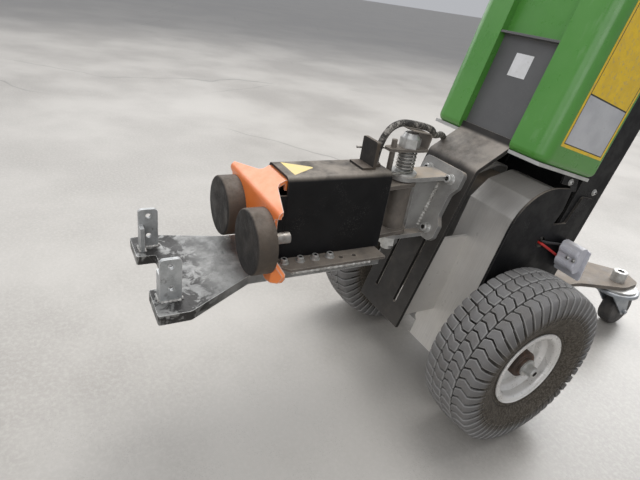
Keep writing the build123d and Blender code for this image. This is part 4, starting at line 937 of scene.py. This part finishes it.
mesh = bmesh.new()
sheets = [[[mesh.verts.new(on_hood(x, LABEL_DEEP + wide, LABEL_UP + high)) for high in LABEL_HIGHS]
           for wide in LABEL_WIDES] for x in (LABEL_X, LABEL_X + LABEL_T)]
end_i, end_j = len(LABEL_WIDES) - 1, len(LABEL_HIGHS) - 1
for i in range(end_i):
    for j in range(end_j):
        upright_line = i in LINE_COLUMNS and LINE_ROWS[0] <= j <= LINE_ROWS[-1]
        level_line = j in LINE_ROWS and LINE_COLUMNS[0] <= i <= LINE_COLUMNS[-1]
        look = 1 if upright_line or level_line else 2 if (i, j) == PLATE_CELL else 0
        for grid in sheets:
            cell = (grid[i][j], grid[i + 1][j], grid[i + 1][j + 1], grid[i][j + 1])
            mesh.faces.new(cell).material_index = look
rim = [(i, 0) for i in range(end_i)] + [(end_i, j) for j in range(end_j)]
rim += [(end_i - i, end_j) for i in range(end_i)] + [(0, end_j - j) for j in range(end_j)]
bridge(mesh, *([grid[i][j] for i, j in rim] for grid in sheets))
label = piece("hood_label", mesh, yellow, "chassis")
label.data.materials.append(label_line)
label.data.materials.append(silver_film)

# A small rectangle of thin white plastic film is stuck to the face of the centre cover, on its middle line.
# It is left blank.
STICKER_HALF, STICKER_LOW, STICKER_HIGH, STICKER_FACE, STICKER_T = 16, 94.5, 127, 11.95, 0.15
white_film = layered("white_film", 0.35, 0.0, (0.74, 0.74, 0.75), [
    (CLOUDY, {"Scale": 60.0}, (0.66, 0.66, 0.66), 1.0),
    (CLOUDY, {"Scale": 200.0, "Start": 0.58, "End": 0.7}, (0.4, 0.38, 0.36), 0.4),
])
mesh = bmesh.new()
outline = [on_hood(STICKER_HALF * way, STICKER_FACE, up)
           for way, up in ((-1, STICKER_LOW), (1, STICKER_LOW), (1, STICKER_HIGH), (-1, STICKER_HIGH))]
slab(mesh, outline, on_hood(0, -STICKER_T, 0) - on_hood(0, 0, 0))
piece("cover_sticker", mesh, white_film, "chassis")

# The mast is a folded black channel with a top plate, screwed between the cheeks with button screws. A small
# gusset on each side carries the shelf.
MAST_X, GUSSET_T = 101.0, 0.003
GUSSET_OUTLINE = [(60, 407), (96, 398.8), (101, 378), (90, 378), (82, 388), (60, 393)]
MAST_SCREWS = [(79.0, 394.5), (149.2, 373.3)]
dress(black, "mast_channel", "mast_top")
side_plates("mast_gussets", MAST_X, GUSSET_T, GUSSET_OUTLINE, "chassis")
screws("mast_screws", [aimed(mm(side * MAST_X, y, z), (side, 0, 0), 25 * side + y)
                       for side in (-1, 1) for y, z in MAST_SCREWS], "chassis",
       head_r=0.0042, head_h=0.0028, socket_r=0.0019, washer_r=0.0054, washer_t=0.0008, round_up=0.4)

# The handle bar is black tube with soft moulded grips, and carries the control head. On the head lie a raised
# panel with two rocker keys, a zinc plated key switch and a red stop button.
HEAD_DEEP = 173.5
PANEL_PARTS = [
    # middle x, half width, half depth, bottom, top
    (0, 52, 21, 606.8, 608.6),
    (-34, 8, 13, 608.4, 613.0),
    (-14, 8, 13, 608.4, 613.0),
]
PANEL_UP, PANEL_EDGE, SWITCH_X, STOP_X = 608.5, 0.0008, 10, 36
STOP_PROFILE = [(0.0075, 0.0), (0.0075, 0.006), (0.0118, 0.0072), (0.0122, 0.0088), (0.0122, 0.0112),
                (0.0108, 0.0134), (0.0072, 0.0148), (0.003, 0.0153)]
dress(black, "handle_bar")
soft_black = layered("soft_black", 0.65, 0.0, (0.018, 0.018, 0.02), [
    (CLOUDY, {"Scale": 25.0}, (0.04, 0.04, 0.042), 1.0),
    (UPWARD_PATCHES, {"Scale": 35.0}, (0.14, 0.13, 0.12), 0.4),
], grain=(CLOUDY, fine_grain(400.0), 0.3))
dress(soft_black, "grips", "control_head")
head_up = (on_hood(0, 0, 1) - on_hood(0, 0, 0)).normalized()
mesh = bmesh.new()
for x, half, deep, low, high in PANEL_PARTS:
    outline = [on_hood(x + i * half, HEAD_DEEP + j * deep, low) for i, j in ((-1, -1), (1, -1), (1, 1), (-1, 1))]
    slab(mesh, outline, head_up * (high - low) * 0.001)
bmesh.ops.bevel(mesh, geom=mesh.edges[:], offset=PANEL_EDGE, segments=2, affect="EDGES")
piece("head_panel", mesh, soft_black, "chassis")
screws("head_switch", [aimed(on_hood(SWITCH_X, HEAD_DEEP, PANEL_UP), head_up, 40)], "chassis",
       head_r=0.0085, head_h=0.0045, socket_r=0.0028, washer_r=0.011, washer_t=0.001, round_up=0.25)
red_plastic = layered("red_plastic", 0.35, 0.0, (0.50, 0.018, 0.015), [
    (CLOUDY, {"Scale": 90.0}, (0.40, 0.02, 0.016), 1.0),
    (UPWARD_PATCHES, {"Scale": 60.0}, (0.45, 0.2, 0.16), 0.3),
])
mesh = bmesh.new()
rows = turned(mesh, aimed(on_hood(STOP_X, HEAD_DEEP, PANEL_UP), head_up), STOP_PROFILE, FINE_FACETS)
mesh.faces.new(rows[-1])
piece("stop_button", mesh, red_plastic, "chassis")

# The charging connector is a pale lilac moulding of two ribbed barrels, screwed to a bracket of the same
# colour at the mast's side.
BARREL_SHARES, BARREL_OUT = (0.26, 0.74), 0.0042
RIB_R, RIB_ROOT_R, MOUTH_R, BACK_R = 0.0086, 0.0080, 0.0076, 0.0074
RIBS, RIB_FROM, RIB_PITCH = 9, 0.003, 0.0022
CONNECTOR_SCREWS = [(0.018, 162), (0.0285, 256.5)]
lilac = layered("connector_plastic", 0.45, 0.0, (0.50, 0.50, 0.545), [
    (CLOUDY, {"Scale": 60.0}, (0.60, 0.60, 0.64), 1.0),
    (UPWARD_PATCHES, {"Scale": 60.0}, (0.36, 0.33, 0.3), 0.5),
])
dress(lilac, "connector", "connector_bracket")
plug_low, plug_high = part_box("connector")
long = plug_high.x - plug_low.x
profile = [(MOUTH_R, 0.0006), (RIB_R, 0.0016)]
for start in (RIB_FROM + k * RIB_PITCH for k in range(RIBS)):
    profile += [(RIB_R, start), (RIB_ROOT_R, start + 0.0006), (RIB_ROOT_R, start + 0.0010), (RIB_R, start + 0.0016)]
profile += [(RIB_R, long - 0.003), (BACK_R, long - 0.0006)]
mesh = bmesh.new()
for share in BARREL_SHARES:
    height = plug_low.z + share * (plug_high.z - plug_low.z)
    rows = turned(mesh, aimed(Vector((plug_low.x, plug_low.y + BARREL_OUT, height)), (1, 0, 0)), profile)
    mesh.faces.new(rows[0])
    mesh.faces.new(rows[-1])
piece("connector_barrels", mesh, lilac, "chassis", 25.0)
middle = (plug_low.z + plug_high.z) / 2
screws("connector_screws", [aimed(Vector((plug_low.x + x, plug_low.y, middle)), (0, -1, 0), turn)
                            for x, turn in CONNECTOR_SCREWS], "chassis",
       head_r=0.0028, head_h=0.0022, socket_r=0.0012, washer_r=0.0035, washer_t=0.0006, round_up=0.3)

# One red and one black wire run from a hole in the cheek to the connector, the black one above the red one
# all the way.
WIRES_FROM, WIRES_TO = 58, 109
WIRES_HIGH, WIRES_LOW = 0.2982, 0.2795
wire_skin, tree, shader = material("wire_skin", 0.45)
split = add(tree, "SeparateXYZ", {0: add(tree, "NewGeometry").outputs["Position"]})
between = add(tree, "MapRange", {"Value": split.outputs["Y"], "From Min": mm(0, WIRES_FROM, 0).y,
                                 "From Max": mm(0, WIRES_TO, 0).y, "To Min": WIRES_HIGH, "To Max": WIRES_LOW},
              clamp=True).outputs[0]
upper = add(tree, "Math", {0: split.outputs["Z"], 1: between}, operation="GREATER_THAN").outputs[0]
colour = blend_colour(tree, upper, (0.62, 0.025, 0.02), (0.015, 0.015, 0.016))
colour = blend_colour(tree, use(tree, CLOUDY, {"Scale": 150.0}), colour, (0.2, 0.15, 0.13), 0.12)
tree.links.new(colour, shader.inputs["Base Color"])
dress(wire_skin, "wires")
